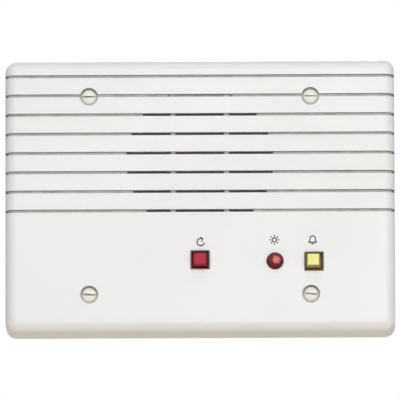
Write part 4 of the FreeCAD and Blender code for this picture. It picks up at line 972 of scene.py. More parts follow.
def ribbonTree(name, finish):
    # A flat strip along every line, stood up at the given depth.
    sizes = {"Width": 0.0005, "Thickness": 0.00004, "Depth": 0.0, "Bend": 0.0003}
    tree, given = startTree(name, sizes)
    curve = resultOf(tree, "GeometryNodeMeshToCurve", {"Mesh": given["Geometry"]})
    bends = {"Curve": curve, "Radius": given["Bend"], "Count": 3}
    curve = resultOf(tree, "GeometryNodeFilletCurve", bends, mode="POLY")
    flat = resultOf(tree, "GeometryNodeSetCurveNormal", {"Curve": curve}, mode="Z_UP")
    section = {"Width": given["Width"], "Height": given["Thickness"]}
    strip = resultOf(tree, "GeometryNodeCurvePrimitiveQuadrilateral", section)
    shift = resultOf(tree, "ShaderNodeCombineXYZ", {"Y": given["Depth"]})
    return endTree(tree, moved(tree, sweep(tree, flat, strip), shift, (math.pi / 2, 0.0, 0.0)), finish)


def ribbons(name, lines, finish, slot, width, depth, thickness=0.04, bend=0.3, closed=False):
    sizes = {"Width": width, "Thickness": thickness, "Depth": depth, "Bend": bend}
    sizes = {label: size * mm for label, size in sizes.items()}
    grown = growMesh(name, ribbonMesh(name, lines, closed), ribbonTree(name + "Tree", finish), sizes)
    return placePiece(name, grown, finish, "station", slot)


# Mounting screws

mountingScrew = {
    "places": [(-46.0375, 41.67), (46.0375, 41.67), (-46.0375, -41.67), (46.0375, -41.67)],
    "slotTurns": [0.0, 0.0, 3.0, 6.0],  # degrees
    "seatY": -18.15, "headRadius": 3.2, "domeHeight": 0.9, "domeSteps": 12, "lip": 0.12,
    "coneLength": 1.956, "neckRadius": 1.5, "slotLength": 9.0, "slotWidth": 0.85, "slotDepth": 1.1,
    "threadRadius": 1.75, "threadRoot": 1.42, "threadPitch": 0.794, "threadStart": -0.05, "tipY": 7.25,
}


def screwHeadMesh(settings):
    # Oval head, countersunk neck and driver slot, on its own axis at the origin.
    rise, radius, seat = settings["domeHeight"], settings["headRadius"], settings["seatY"]
    ball = (radius**2 + rise**2) / (2 * rise)
    top = seat - rise
    profile = [(0.0, top)]
    for step in range(1, settings["domeSteps"] + 1):
        reach = radius * step / settings["domeSteps"]
        profile.append((reach, top + ball - math.sqrt(ball**2 - reach**2)))
    neck, rear = settings["neckRadius"], settings["threadStart"]
    profile += [(radius, seat + settings["lip"]), (neck, seat + settings["coneLength"])]
    profile += [(neck, rear), (0.0, rear)]
    head = linkedObject("screwHead", spinMesh("screwHead", profile, segments=64))
    blade = linkedObject("slotBlade", slotBladeMesh(settings, top + settings["slotDepth"]))
    cut = head.modifiers.new("slot", "BOOLEAN")
    cut.operation = "DIFFERENCE"
    cut.object = blade
    mesh = evaluatedMesh(head)
    bpy.data.objects.remove(blade)
    return smoothShade(mesh, 35.0)


def slotBladeMesh(settings, floor, height=4.0):
    # The block that cuts the driver slot down to its floor.
    cutter = bmesh.new()
    bmesh.ops.create_cube(cutter, size=1.0)
    for vertex in cutter.verts:
        vertex.co.x *= settings["slotLength"] * mm
        vertex.co.z *= settings["slotWidth"] * mm
        vertex.co.y = (vertex.co.y * height + floor - height / 2) * mm
    return finishMesh(cutter, "slotBlade")


def threadTree(name, finish):
    # A core rod with a helical ridge, pointing along +Y from each vertex.
    sizes = {"Crest": 0.00175, "Root": 0.0014, "Pitch": 0.0008, "Length": 0.0073}
    tree, given = startTree(name, sizes)
    rise = minus(tree, given["Length"], given["Pitch"])
    spiral = resultOf(tree, "GeometryNodeCurveSpiral", {
        "Resolution": 40, "Rotations": ratio(tree, rise, given["Pitch"]), "Height": rise,
        "Start Radius": given["Root"], "End Radius": given["Root"],
    })
    spiral = resultOf(tree, "GeometryNodeSetCurveNormal", {"Curve": spiral}, mode="Z_UP")
    ridgeRise = minus(tree, given["Crest"], given["Root"])
    ridge = resultOf(tree, "GeometryNodeCurvePrimitiveCircle", {"Resolution": 3, "Radius": ridgeRise})
    lift = resultOf(tree, "ShaderNodeCombineXYZ", {"Z": times(tree, given["Pitch"], 0.5)})
    helix = moved(tree, sweep(tree, spiral, ridge), lift)
    rod = {"Vertices": 40, "Radius": given["Root"], "Depth": given["Length"]}
    half = resultOf(tree, "ShaderNodeCombineXYZ", {"Z": times(tree, given["Length"], 0.5)})
    core = moved(tree, resultOf(tree, "GeometryNodeMeshCylinder", rod), half)
    joined = addNode(tree, "GeometryNodeJoinGeometry")
    tree.links.new(helix, joined.inputs[0])
    tree.links.new(core, joined.inputs[0])
    laid = moved(tree, joined.outputs[0], turn=(-math.pi / 2, 0.0, 0.0))
    return endTree(tree, copiesOn(tree, given, laid), finish)


def buildMountingScrews(settings):
    places, start = settings["places"], settings["threadStart"]
    spots = pointMesh("screwSpots", [(x, 0.0, z) for x, z in places], settings["slotTurns"])
    heads = scatteredMesh("screwHeads", screwHeadMesh(settings), spots, "screwPaint")
    sizes = {
        "Crest": settings["threadRadius"], "Root": settings["threadRoot"],
        "Pitch": settings["threadPitch"], "Length": settings["tipY"] - start,
    }
    sizes = {label: size * mm for label, size in sizes.items()}
    spots = pointMesh("threadSpots", [(x, start, z) for x, z in places])
    threads = growMesh("screwThreads", spots, threadTree("threadTree", "zincPlate"), sizes)
    joined = joinMeshes("mountingScrewSet", [heads, threads])
    piece = placePiece("mountingScrewSet", joined, "screwPaint", "station", "cream_screw",
                       ["mounting_screws"])
    piece.data.materials.append(finishes["zincPlate"])
    headFaces = len(piece.data.polygons) - len(threads.polygons)
    for polygon in piece.data.polygons:
        polygon.material_index = 1 if polygon.index >= headFaces else 0


# Grille cloth, foam ring, surround and spider

softRings = {
    "clothRadius": 32.8, "clothY": (-16.25, -15.97), "clothRise": 0.02, "clothSteps": 24,
    "foamInner": 29.4, "foamOuter": 32.8, "foamY": (-15.95, -13.75),
    "foamBulges": (0.35, 0.12),  # of its inner and outer edge
    "rollRadius": 1.1, "rollOuter": 28.6, "coneRim": 26.5, "coneRimWidth": 1.2,
    "surroundOuter": 32.8, "surroundFlange": 0.9, "surroundY": -13.75, "surroundThickness": 0.3,
    "spiderInner": 6.57, "spiderOuter": 17.98, "spiderGlueInner": 15.78, "spiderY": -8.25,
    "spiderThickness": 0.3, "spiderWaves": 5, "spiderWaveHeight": 0.6,
    "surroundSectors": 16, "spiderSectors": 12,
}


def buildGrilleCloth(settings):
    # A flat disc behind the slots, stretched by the basket that presses it to the housing.
    front, rear = settings["clothY"]
    radius, steps = settings["clothRadius"], settings["clothSteps"]
    reaches = [radius * step / steps for step in range(steps + 1)]
    face = [(reach, front + settings["clothRise"]) for reach in reaches]
    back = [(reach, rear) for reach in reversed(reaches)]
    mesh = spinMesh("speakerCloth", face + back, 0.0, speakerZ, 96)
    piece = placePiece("speakerCloth", mesh, "grilleFabric", "station", "cloth", ["grille_cloth"])


def buildFoamRing(settings):
    # Open-cell foam squeezed between cloth and basket, so its free edges bulge.
    front, rear = settings["foamY"]
    inner, outer = settings["foamInner"], settings["foamOuter"]
    inward, outward = settings["foamBulges"]
    middle, half = (front + rear) / 2, (rear - front) / 2
    profile = []
    for step in range(-4, 5):
        share, y = math.cos(math.pi * step / 8), middle + half * math.sin(math.pi * step / 8)
        profile.append((inner + inward * (1.0 - max(share, 0.0) ** 0.7), y))
    for step in range(4, -5, -1):
        share, y = math.cos(math.pi * step / 8), middle + half * math.sin(math.pi * step / 8)
        profile.append((outer - outward * (1.0 - share), y))
    mesh = spinMesh("foamRing", profile, 0.0, speakerZ, 128, closed=True)
    piece = placePiece("foamRing", mesh, "rubberFoam", "station", "gasket", ["speaker_gasket"])


def offsetProfile(points, thickness):
    # The same line again, one thickness towards the wall, walked back to close the profile.
    return points + [(radius, y + thickness) for radius, y in reversed(points)]


def sectorMesh(name, section, centre, middle, spread, steps, sharpAngle=35.0):
    # Part of a turn of a closed (radius, y) section about an axis along Y, with its ends closed.
    bm = bmesh.new()
    x, z = centre
    rings = []
    for step in range(steps + 1):
        angle = math.radians(middle - spread + 2 * spread * step / steps)
        places = [(x + reach * math.cos(angle), y, z + reach * math.sin(angle)) for reach, y in section]
        rings.append([bm.verts.new((across * mm, y * mm, up * mm)) for across, y, up in places])
    bridgeRings(bm, rings)
    return finishMesh(bm, name, sharpAngle)


def flexRing(name, profile, count, steps, looks):
    # A soft ring between basket and cone, built as separate sectors,
    # each spread about its own middle angle.
    finish, slot, node = looks
    for index in range(count):
        middle = 360.0 * index / count
        label = f"{name}-{index + 1:02d}"
        mesh = sectorMesh(label, profile, (0.0, speakerZ), middle, 180.0 / count, steps)
        piece = placePiece(label, mesh, finish, None, slot, [node])
        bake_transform(piece)


def buildSurround(settings):
    # A flange on the basket, one half round roll and a lip on the cone.
    level, roll = settings["surroundY"], settings["rollRadius"]
    outer, count = settings["rollOuter"], settings["surroundSectors"]
    line = [(settings["surroundOuter"], level), (outer + settings["surroundFlange"], level)]
    for step in range(25):
        angle = math.pi * step / 24
        line.append((outer - roll + roll * math.cos(angle), level - roll * math.sin(angle)))
    line.append((settings["coneRim"] - settings["coneRimWidth"], level))
    profile = offsetProfile(line, settings["surroundThickness"])
    flexRing("rolledSurround", profile, count, 9, ("coatedRoll", "surround", "speaker_surround"))


def buildSpider(settings):
    # A corrugated ring: its flat rim is glued to the basket, its waves run in to the coil.
    front = settings["spiderY"] - settings["spiderThickness"]
    inner, glue = settings["spiderInner"], settings["spiderGlueInner"]
    width, count = (glue - inner) / settings["spiderWaves"], settings["spiderSectors"]
    line = [(settings["spiderOuter"], front)]
    for step in range(81):
        reach = glue - (glue - inner) * step / 80
        wave = math.sin(math.pi * (glue - reach) / width)
        line.append((reach, front - settings["spiderWaveHeight"] * wave))
    profile = offsetProfile(line, settings["spiderThickness"])
    flexRing("corrugatedSpider", profile, count, 10, ("spiderCloth", "spider", "speaker_spider"))


# Return springs

returnSpring = {
    "reset": (0.0, -27.2), "call": (47.0, -27.75),
    "frontY": -12.9, "floorY": -7.35, "coilRadius": 2.3, "wireRadius": 0.17,
    "turns": 6.0, "deadTurns": 0.75,
}


def springTree(name, finish):
    # Dead turns at both ends and open turns between them, along +Y from the start vertex.
    sizes = {"Coil": 0.0023, "Wire": 0.00017, "Height": 0.0055, "Turns": 6.0, "Dead": 0.75}
    tree, given = startTree(name, sizes)
    line = resultOf(tree, "GeometryNodeCurvePrimitiveLine")
    line = resultOf(tree, "GeometryNodeResampleCurve", {"Curve": line, "Count": 320})
    along = addNode(tree, "GeometryNodeSplineParameter").outputs["Factor"]
    angle = times(tree, times(tree, along, given["Turns"]), 2 * math.pi)
    deadShare = ratio(tree, given["Dead"], given["Turns"])
    pitch = times(tree, given["Wire"], 2.04)
    rise = times(tree, pitch, given["Dead"])
    span = minus(tree, given["Height"], times(tree, given["Wire"], 2.0))
    openRise = minus(tree, span, times(tree, rise, 2.0))
    lastStart = minus(tree, 1.0, deadShare)
    level = plus(tree, remap(tree, along, 0.0, deadShare, 0.0, rise), given["Wire"])
    level = plus(tree, level, remap(tree, along, deadShare, lastStart, 0.0, openRise))
    level = plus(tree, level, remap(tree, along, lastStart, 1.0, 0.0, rise))
    place = resultOf(tree, "ShaderNodeCombineXYZ", {
        "X": times(tree, calc(tree, "COSINE", angle), given["Coil"]), "Y": level,
        "Z": times(tree, calc(tree, "SINE", angle), given["Coil"]),
    })
    coil = resultOf(tree, "GeometryNodeSetPosition", {"Geometry": line, "Position": place})
    ring = {"Resolution": 14, "Radius": given["Wire"]}
    wire = resultOf(tree, "GeometryNodeCurvePrimitiveCircle", ring)
    return endTree(tree, copiesOn(tree, given, sweep(tree, coil, wire)), finish)


def buildReturnSprings(settings):
    tree = springTree("returnSpringTree", "springSteel")
    front, floor = settings["frontY"], settings["floorY"]
    sizes = {
        "Coil": settings["coilRadius"] * mm, "Wire": settings["wireRadius"] * mm,
        "Height": (floor - front) * mm, "Turns": settings["turns"], "Dead": settings["deadTurns"],
    }
    for button in ("reset", "call"):
        x, z = settings[button]
        name, node = button + "Spring", button + "_return_spring"
        mesh = growMesh(name, pointMesh(button + "Spot", [(x, front, z)]), tree, sizes)
        mesh.shade_smooth()
        piece = placePiece(name, mesh, "springSteel", None, "spring_steel", [node])
        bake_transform(piece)


# Printed signs beside the controls

signs = {
    "reset": (0.25, -19.75), "lamp": (30.9, -18.95), "call": (46.75, -18.95),
    "stroke": 0.5, "inkThickness": 0.03,
    "arrowRadius": 1.5, "arrowAngles": (62, 350), "arrowHead": [(-0.8, 0.75), (0.25, 0.0), (-0.4, -1.15)],
    "lampRadius": 0.85, "rays": (1.4, 2.05), "rayStep": 45,
    "bellSide": [(-1.7, -1.1), (-1.15, -0.55), (-1.1, 0.4)], "domeRise": 0.5, "domeRadius": 1.1,
    "clapperDrop": 1.3, "clapperRadius": 0.5,
}


def arcPoints(x, z, radius, startAngle, endAngle, steps=24):
    sweepAngle = endAngle - startAngle
    angles = [math.radians(startAngle + sweepAngle * step / steps) for step in range(steps + 1)]
    return [(x + radius * math.cos(angle), z + radius * math.sin(angle)) for angle in angles]


def arrowLines(x, z, settings):
    arc = arcPoints(x, z, settings["arrowRadius"], *settings["arrowAngles"])
    return [arc, [(arc[0][0] + across, arc[0][1] + up) for across, up in settings["arrowHead"]]]


def rayLines(x, z, settings):
    ways = [math.radians(angle) for angle in range(0, 360, settings["rayStep"])]
    return [[(x + reach * math.cos(way), z + reach * math.sin(way)) for reach in settings["rays"]]
            for way in ways]


def bellLine(x, z, settings):
    side = [(x + across, z + up) for across, up in settings["bellSide"]]
    mirrored = [(x - across, z + up) for across, up in reversed(settings["bellSide"])]
    dome = arcPoints(x, z + settings["domeRise"], settings["domeRadius"], 172, 8, 12)
    return side + dome + mirrored


def buildSigns(settings):
    # A turning arrow for reset, a shining lamp, and a bell for the call.
    lamp, call = settings["lamp"], settings["call"]
    openLines = arrowLines(*settings["reset"], settings) + rayLines(*lamp, settings)
    clapper = (call[0], call[1] - settings["clapperDrop"], settings["clapperRadius"])
    openLines.append(arcPoints(*clapper, 200, 340, 8))
    closedLines = [arcPoints(*lamp, settings["lampRadius"], 0, 345, 23), bellLine(*call, settings)]
    width, ink = settings["stroke"], settings["inkThickness"]
    depth = frontY - ink / 2
    ribbons("signStrokes", openLines, "printInk", "black_plastic", width, depth, ink, 0.0)
    ribbons("signOutlines", closedLines, "printInk", "black_plastic", width, depth, ink, 0.05, closed=True)


# Printed circuit: pads, solder, tracks and outlines

throughHoles = {
    "pins": [(-26.27, -21.7), (-23.73, -21.7), (-8.55, -31.4), (-6.05, -31.4), (3.95, -33.2), (6.45, -33.2),
             (52.45, -29.0), (54.95, -29.0), (36.66, -30.64), (41.74, -30.64), (39.2, -25.56)],
    "frontParts": [(-1.2, -27.2), (1.2, -27.2), (46.1, -28.0), (48.5, -28.0), (29.83, -27.8),
                   (32.37, -27.8)],
    "resistorRows": {-21.6: [8.0, 20.0, 32.0, 44.0], -34.6: [14.0, 26.0, 38.0]},  # x by z
    "resistorReach": 5.08, "padWidth": 1.0,
    "chip": (17.6, -28.1), "chipPitch": 2.54, "chipLegs": 7, "chipRow": 3.81,
    "terminal": (-32.7, -30.4), "terminalPitch": 5.08, "terminals": 8, "terminalPad": 1.8,
}

boardTracks = {
    "thin": [
        [(-26.27, -21.7), (-26.27, -24.5), (-30.16, -28.4), (-30.16, -30.4)],
        [(-23.73, -21.7), (-23.73, -24.0), (-20.0, -27.7), (-20.0, -30.4)],
        [(-8.55, -31.4), (-10.5, -31.4), (-11.5, -30.4), (-14.92, -30.4)],
        [(-6.05, -31.4), (-4.6, -31.4), (-1.2, -28.0), (-1.2, -27.2)],
        [(1.2, -27.2), (4.11, -24.29), (9.98, -24.29)],
        [(2.92, -21.6), (0.5, -21.6), (-0.3, -20.8), (-22.8, -20.8), (-23.73, -21.7)],
        [(13.08, -21.6), (12.52, -22.3), (12.52, -24.29)],
        [(14.92, -21.6), (15.06, -22.2), (15.06, -24.29)],
        [(25.08, -21.6), (25.22, -22.2), (25.22, -24.29)],
        [(26.92, -21.6), (26.92, -24.0), (29.83, -26.9), (29.83, -27.8)],
        [(37.08, -21.6), (38.92, -21.6)],
        [(37.08, -21.6), (37.08, -23.4), (39.2, -25.56)],
        [(49.08, -21.6), (49.08, -26.5), (48.5, -27.1), (48.5, -28.0)],
        [(46.1, -28.0), (46.1, -29.0), (44.46, -30.64), (41.74, -30.64)],
        [(52.45, -29.0), (50.5, -29.0), (49.5, -28.0), (48.5, -28.0)],
        [(54.95, -29.0), (54.95, -31.5), (51.2, -35.3), (43.8, -35.3), (43.08, -34.6)],
        [(32.37, -27.8), (33.8, -27.8), (36.66, -30.64)],
        [(25.22, -31.91), (26.5, -33.2), (29.7, -33.2), (31.08, -34.6)],
        [(20.92, -34.6), (20.14, -33.6), (20.14, -31.91)],
        [(19.08, -34.6), (17.6, -33.1), (17.6, -31.91)],
        [(8.92, -34.6), (7.85, -34.6), (6.45, -33.2)],
        [(3.95, -33.2), (2.5, -34.6), (-4.5, -34.6), (-6.05, -33.0), (-6.05, -31.4)],
        [(32.92, -34.6), (31.08, -34.6)],
    ],
    "wide": [
        [(-1.5, -34.6), (-3.0, -35.6), (-53.5, -35.6), (-54.2, -34.9), (-54.2, -21.3), (-53.5, -20.6),
         (-27.4, -20.6), (-26.27, -21.7)],
    ],
    "vias": [(-30.16, -25.0), (-12.0, -22.6), (-8.0, -24.5), (-14.0, -26.6), (4.2, -29.4), (27.6, -29.6),
             (33.9, -25.2), (51.5, -24.0), (-36.0, -23.2), (-44.0, -24.4)],
    "thinWidth": 0.55, "wideWidth": 1.5, "copper": 0.05,
    "middleZ": -28.1, "frontCount": 12,  # the front side mirrors so many of the thin tracks
}

boardPrint = {
    "boxes": [(-32.7, -30.4, 41.6, 9.4), (39.2, -28.1, 10.4, 10.4), (17.6, -28.1, 21.0, 9.3)],
    "resistorBox": (7.4, 3.1),
    "rounds": [(-7.3, -31.4, 4.4), (5.2, -33.2, 2.9), (53.7, -29.0, 2.9), (31.1, -27.8, 2.6)],
    "plusSigns": [(-12.3, -33.8), (1.3, -31.2), (57.4, -27.6)], "plusReach": 0.5,
    "width": 0.16, "ink": 0.06,
}

padShapes = {  # closed (radius, y) outlines
    "pad": [(0.5, -0.03), (0.95, -0.03), (0.95, 0.03), (0.5, 0.03)],
    "via": [(0.18, -0.03), (0.42, -0.03), (0.42, 0.03), (0.18, 0.03)],
    "solder": [(0.2, 0.0), (0.9, 0.0), (0.68, 0.16), (0.5, 0.42), (0.4, 0.72), (0.34, 1.0), (0.2, 1.06)],
}


def boardHoles(settings):
    # Every plated hole as (x, z, pad width), for the parts on the rear and then on the front side.
    pad = settings["padWidth"]
    rear = [(x, z, pad) for x, z in settings["pins"]]
    for z, row in settings["resistorRows"].items():
        rear += [(x + side * settings["resistorReach"], z, pad) for x in row for side in (-1, 1)]
    chipX, chipZ = settings["chip"]
    half = (settings["chipLegs"] - 1) / 2
    for step in range(settings["chipLegs"]):
        x = chipX + (step - half) * settings["chipPitch"]
        rear += [(x, chipZ + side * settings["chipRow"], pad) for side in (-1, 1)]
    blockX, blockZ = settings["terminal"]
    half = (settings["terminals"] - 1) / 2
    for step in range(settings["terminals"]):
        x = blockX + (step - half) * settings["terminalPitch"]
        rear.append((x, blockZ, settings["terminalPad"]))
    return rear, [(x, z, pad) for x, z in settings["frontParts"]]


def solderMesh(name, way):
    # A concave fillet of solder climbing a pin, one pad wide.
    profile = [(radius, way * rise) for radius, rise in padShapes["solder"]]
    return spinMesh(name, profile, segments=18, closed=True)


def buildBoardMetal(holes, tracks):
    rear, front = boardHoles(holes)
    every = rear + front
    places = [(x, level, z) for level in (boardRearY, boardFrontY) for x, z, wide in every]
    widths = [wide for level in range(2) for x, z, wide in every]
    ring = spinMesh("padRing", padShapes["pad"], segments=20, closed=True)
    scatter("boardPads", ring, places, "tin", "tin", widths=widths)
    places = [(x, boardFrontY - 0.02, z) for x, z, wide in rear]
    widths = [wide for x, z, wide in rear]
    scatter("frontSolder", solderMesh("frontFillet", -1), places, "solder", "tin", widths=widths)
    places = [(x, boardRearY + 0.02, z) for x, z, wide in front]
    scatter("rearSolder", solderMesh("rearFillet", 1), places, "solder", "tin")
    places = [(x, boardRearY, z) for x, z in tracks["vias"]]
    ring = spinMesh("viaRing", padShapes["via"], segments=16, closed=True)
    scatter("boardVias", ring, places, "maskedTrack", "board")
    looks, thin, copper = ("maskedTrack", "board"), tracks["thinWidth"], tracks["copper"]
    ribbons("rearTracks", tracks["thin"], *looks, thin, boardRearY, copper)
    ribbons("rearSupply", tracks["wide"], *looks, tracks["wideWidth"], boardRearY, copper, 0.6)
    mirror = 2 * tracks["middleZ"]
    crossed = [[(x, mirror - z) for x, z in line] for line in tracks["thin"][:tracks["frontCount"]]]
    ribbons("frontTracks", crossed, *looks, thin, boardFrontY, copper)


def boxLine(x, z, wide, high):
    corners = ((-1, -1), (1, -1), (1, 1), (-1, 1))
    return [(x + across * wide / 2, z + up * high / 2) for across, up in corners]


def buildBoardOutlines(holes, settings):
    # White outlines round the parts and plus signs at the capacitors.
    closed = [boxLine(*box) for box in settings["boxes"]]
    for z, row in holes["resistorRows"].items():
        closed += [boxLine(x, z, *settings["resistorBox"]) for x in row]
    closed += [arcPoints(*circle, 0, 350, 35) for circle in settings["rounds"]]
    opened, reach = [], settings["plusReach"]
    for x, z in settings["plusSigns"]:
        opened += [[(x - reach, z), (x + reach, z)], [(x, z - reach), (x, z + reach)]]
    looks, width, ink = ("boardInk", "white_plastic"), settings["width"], settings["ink"]
    ribbons("partOutlines", closed, *looks, width, boardRearY, ink, 0.0, closed=True)
    ribbons("plusSigns", opened, *looks, width, boardRearY, ink, 0.0)


# Bands, stripes and scored tops of the small parts

bandColours = {  # where the bands sit along a resistor, and the first three colours of each
    "along": [-2.5, -1.1, -0.1, 2.5], "endRadius": 1.15, "endStart": 2.0, "waistRadius": 0.94,
    "axisY": -3.15, "bandWidth": 0.5, "lift": 0.025, "rim": (0.93, 1.0, 0.03), "last": "Gold",
    "codes": [("Brown", "Black", "Red"), ("Red", "Red", "Orange"), ("Brown", "Black", "Orange"),
              ("Orange", "Orange", "Brown"), ("Brown", "Black", "Red"), ("Red", "Brown", "Orange"),
              ("Orange", "Black", "Brown")],
}

capacitorTops = {
    # x, z, radius and rear end of each can
    "cans": [(-7.3, -31.4, 4.0, 3.75), (5.2, -33.2, 2.5, 2.75), (53.7, -29.0, 2.5, 2.75)],
    "canFront": -4.25, "topShare": 0.8, "quarterShare": 0.98, "firstQuarter": 20, "discY": (-0.05, 0.02),
    "stripeAngle": 200.0, "stripeSpread": 24.0, "stripeEnds": (1.9, 0.5), "skin": 0.04,
    "dashes": 3, "dashHalf": 0.5, "dashShare": 0.2,
}


def buildResistorBands(settings, holes):
    half, (low, high, ease) = settings["bandWidth"] / 2, settings["rim"]
    outline = [(low, -half), (high, -half + ease), (high, half - ease), (low, half)]
    bodies = [(x, z) for z, row in holes["resistorRows"].items() for x in row]
    spots = {}
    for (x, z), code in zip(bodies, settings["codes"]):
        for step, colour in zip(settings["along"], code + (settings["last"],)):
            radius = settings["endRadius" if abs(step) > settings["endStart"] else "waistRadius"]
            spot = ((x + step, settings["axisY"], z), radius + settings["lift"])
            spots.setdefault(colour, []).append(spot)
    for colour, found in spots.items():
        ring = spinMesh("band" + colour + "Ring", outline, segments=24, closed=True)
        for vertex in ring.vertices:
            vertex.co = (vertex.co.y, vertex.co.x, vertex.co.z)
        ring.flip_normals()
        places, widths = zip(*found)
        scatter("resistorBands" + colour, ring, places, "band" + colour, "resistor_coat",
                widths=widths, axis="X")


def quadrantMesh(name, gap=0.07, height=0.08, steps=10):
    # A quarter of a disc of radius 1 mm, kept off both axes, with its top edge eased.
    bm = bmesh.new()
    rings = []
    for level, inset in ((0.0, 0.0), (height * 0.6, 0.0), (height, 0.03)):
        start, reach = gap + inset, 1.0 - inset
        first = math.asin(start / reach)
        angles = [first + (math.pi / 2 - 2 * first) * step / steps for step in range(steps + 1)]
        corners = [(start, start)]
        corners += [(reach * math.cos(angle), reach * math.sin(angle)) for angle in angles]
        rings.append([bm.verts.new((x * mm, level * mm, z * mm)) for x, z in corners])
    bridgeRings(bm, rings)
    return finishMesh(bm, name, 30.0)


def wallPatch(name, centre, radius, levels, turn, settings):
    # Part of a can's skin, as a thin closed shell.
    low, high = levels
    outer = radius + settings["skin"]
    section = [(radius, low), (outer, low), (outer, high), (radius, high)]
    return sectorMesh(name, section, centre, *turn, 14, 30.0)


def buildCapacitorDetails(settings):
    # Crosswise scored tops, and a dashed stripe down the minus side of every sleeve.
    places, turns, widths, stripes, dashes, bases = [], [], [], [], [], []
    angle, spread = settings["stripeAngle"], settings["stripeSpread"]
    for x, z, radius, rear in settings["cans"]:
        top = radius * settings["topShare"]
        below, above = (rear + step for step in settings["discY"])
        disc = [(0.0, below), (top, below), (top, above), (0.0, above)]
        bases.append(spinMesh("ventBase", disc, x, z, 40))
        for quarter in range(4):
            places.append((x, rear, z))
            turns.append(90 * quarter + settings["firstQuarter"])
            widths.append(top * settings["quarterShare"])
        low, high = settings["canFront"] + settings["stripeEnds"][0], rear - settings["stripeEnds"][1]
        turn = (angle, spread)
        stripes.append(wallPatch("stripe", (x, z), radius - 0.01, (low, high), turn, settings))
        for step in range(settings["dashes"]):
            middle = low + (high - low) * (step + 0.5) / settings["dashes"]
            levels = (middle - settings["dashHalf"], middle + settings["dashHalf"])
            turn = (angle, spread * settings["dashShare"])
            dashes.append(wallPatch("dash", (x, z), radius + 0.02, levels, turn, settings))
    placeJoined("ventBases", bases, "ventScore", "steel")
    scatter("ventQuarters", quadrantMesh("ventQuarter"), places, "canAluminium", "steel", turns, widths)
    placeJoined("capacitorStripes", stripes, "stripeInk", "white_plastic")
    placeJoined("capacitorDashes", dashes, "sleeveFilm", "capacitor_sleeve")


def placeJoined(name, meshes, finish, slot):
    placePiece(name, joinMeshes(name, meshes), finish, "station", slot)


# Solder on the lugs, glue round the magnet, ejector marks and terminal numbers

workmanship = {
    "lugs": [(-3.6, -9.4), (3.6, -11.7)], "lugRear": -2.45,
    "blob": [(0.0, 1.55), (0.45, 1.48), (0.8, 1.2), (0.98, 0.75), (1.12, 0.25), (1.25, -0.02),
             (0.0, -0.02)],
    "blobSize": (0.92, 1.12), "leans": (0.12, 3100, 0.08, 2700),
    "magnetBeads": [(15.1, -1.75, 0.34), (15.65, 5.2, 0.22)],  # radius, y, bead
    "beadWaves": (3, 5, 8, 13, 21), "waveSizes": (0.02, 0.12), "seed": 7,
    "ejectorMarks": [(-69, 42), (-69, 8), (-69, -38), (69, 42), (69, 8), (69, -38), (-24, -47.5),
                     (24, -47.5), (-27, 51), (27, 51)],
    "ejectorRing": [(2.35, -0.05), (2.45, 0.06), (2.55, 0.06), (2.65, -0.05)],
    "numberZ": -27.35, "numberHeight": 1.5, "capitalShare": 1.35, "inkHalf": 0.02, "inkLift": 0.01,
    "blockRear": 5.45,
}


def buildLugSolder(settings):
    # A blob on each lug, pulled out of round.
    blob = spinMesh("lugBlob", settings["blob"], segments=28)
    wide, high = settings["blobSize"]
    first, firstRate, second, secondRate = settings["leans"]
    for vertex in blob.vertices:
        lean = 1.0 + first * math.sin(vertex.co.z * firstRate) + second * math.cos(vertex.co.x * secondRate)
        vertex.co.x *= wide * lean
        vertex.co.z *= high
    places = [(x, settings["lugRear"], z) for x, z in settings["lugs"]]
    scatter("lugSolder", blob, places, "solder", "tin")


speakerLeads = {
    "Red": [(-3.6, -1.8, -9.6), (-9.6, -0.4, -7.6), (-17.0, 0.2, -3.2), (-26.27, -3.25, -4.65),
            (-26.27, -3.25, -15.45)],
    "Black": [(3.6, -1.8, -11.9), (-2.5, -0.5, -14.2), (-9.0, 0.4, -11.2), (-15.5, -0.3, -7.0),
              (-23.73, -3.25, -7.45), (-23.73, -3.25, -15.45)],
    "radius": 0.65, "coreRadius": 0.42,
    "stripped": 0.05, "overlap": 0.01,  # shares of the length
}


def wireTree(name, finish):
    # A round wire along part of the start line.
    tree, given = startTree(name, {"Radius": 0.00065, "Start": 0.0, "End": 1.0})
    curve = resultOf(tree, "GeometryNodeMeshToCurve", {"Mesh": given["Geometry"]})
    share = {"Curve": curve, "Start": given["Start"], "End": given["End"]}
    part = resultOf(tree, "GeometryNodeTrimCurve", share)
    section = {"Resolution": 20, "Radius": given["Radius"]}
    ring = resultOf(tree, "GeometryNodeCurvePrimitiveCircle", section)
    return endTree(tree, sweep(tree, part, ring), finish)


def smoothLine(name, points):
    # The line of a smooth spline that has these points as its controls.
    curve = bpy.data.curves.new(name, "CURVE")
    curve.dimensions = "3D"
    curve.resolution_u = 16
    spline = curve.splines.new("NURBS")
    spline.points.add(len(points) - 1)
    for control, (x, y, z) in zip(spline.points, points):
        control.co = (x * mm, y * mm, z * mm, 1.0)
    spline.order_u = 3
    spline.use_endpoint_u = True
    return evaluatedMesh(linkedObject(name, curve))


def buildSpeakerLeads(settings):
    # Insulated leads with their tinned strands bared at the lugs.
    stripped = settings["stripped"]
    for colour in ("Red", "Black"):
        label = colour.lower()
        skin = (label + "Wire", "station", label + "_wire", ["speaker_lead_" + label])
        strands = ("tin", "station", "tin")
        for name, looks, radius, start, end in (
            ("speakerLead", skin, "radius", stripped, 1.0),
            ("baredStrands", strands, "coreRadius", 0.0, stripped + settings["overlap"]),
        ):
            name += colour
            line, tree = smoothLine(name, settings[colour]), wireTree(name + "Tree", looks[0])
            sizes = {"Radius": settings[radius] * mm, "Start": start, "End": end}
            placePiece(name, smoothShade(growMesh(name, line, tree, sizes)), *looks)


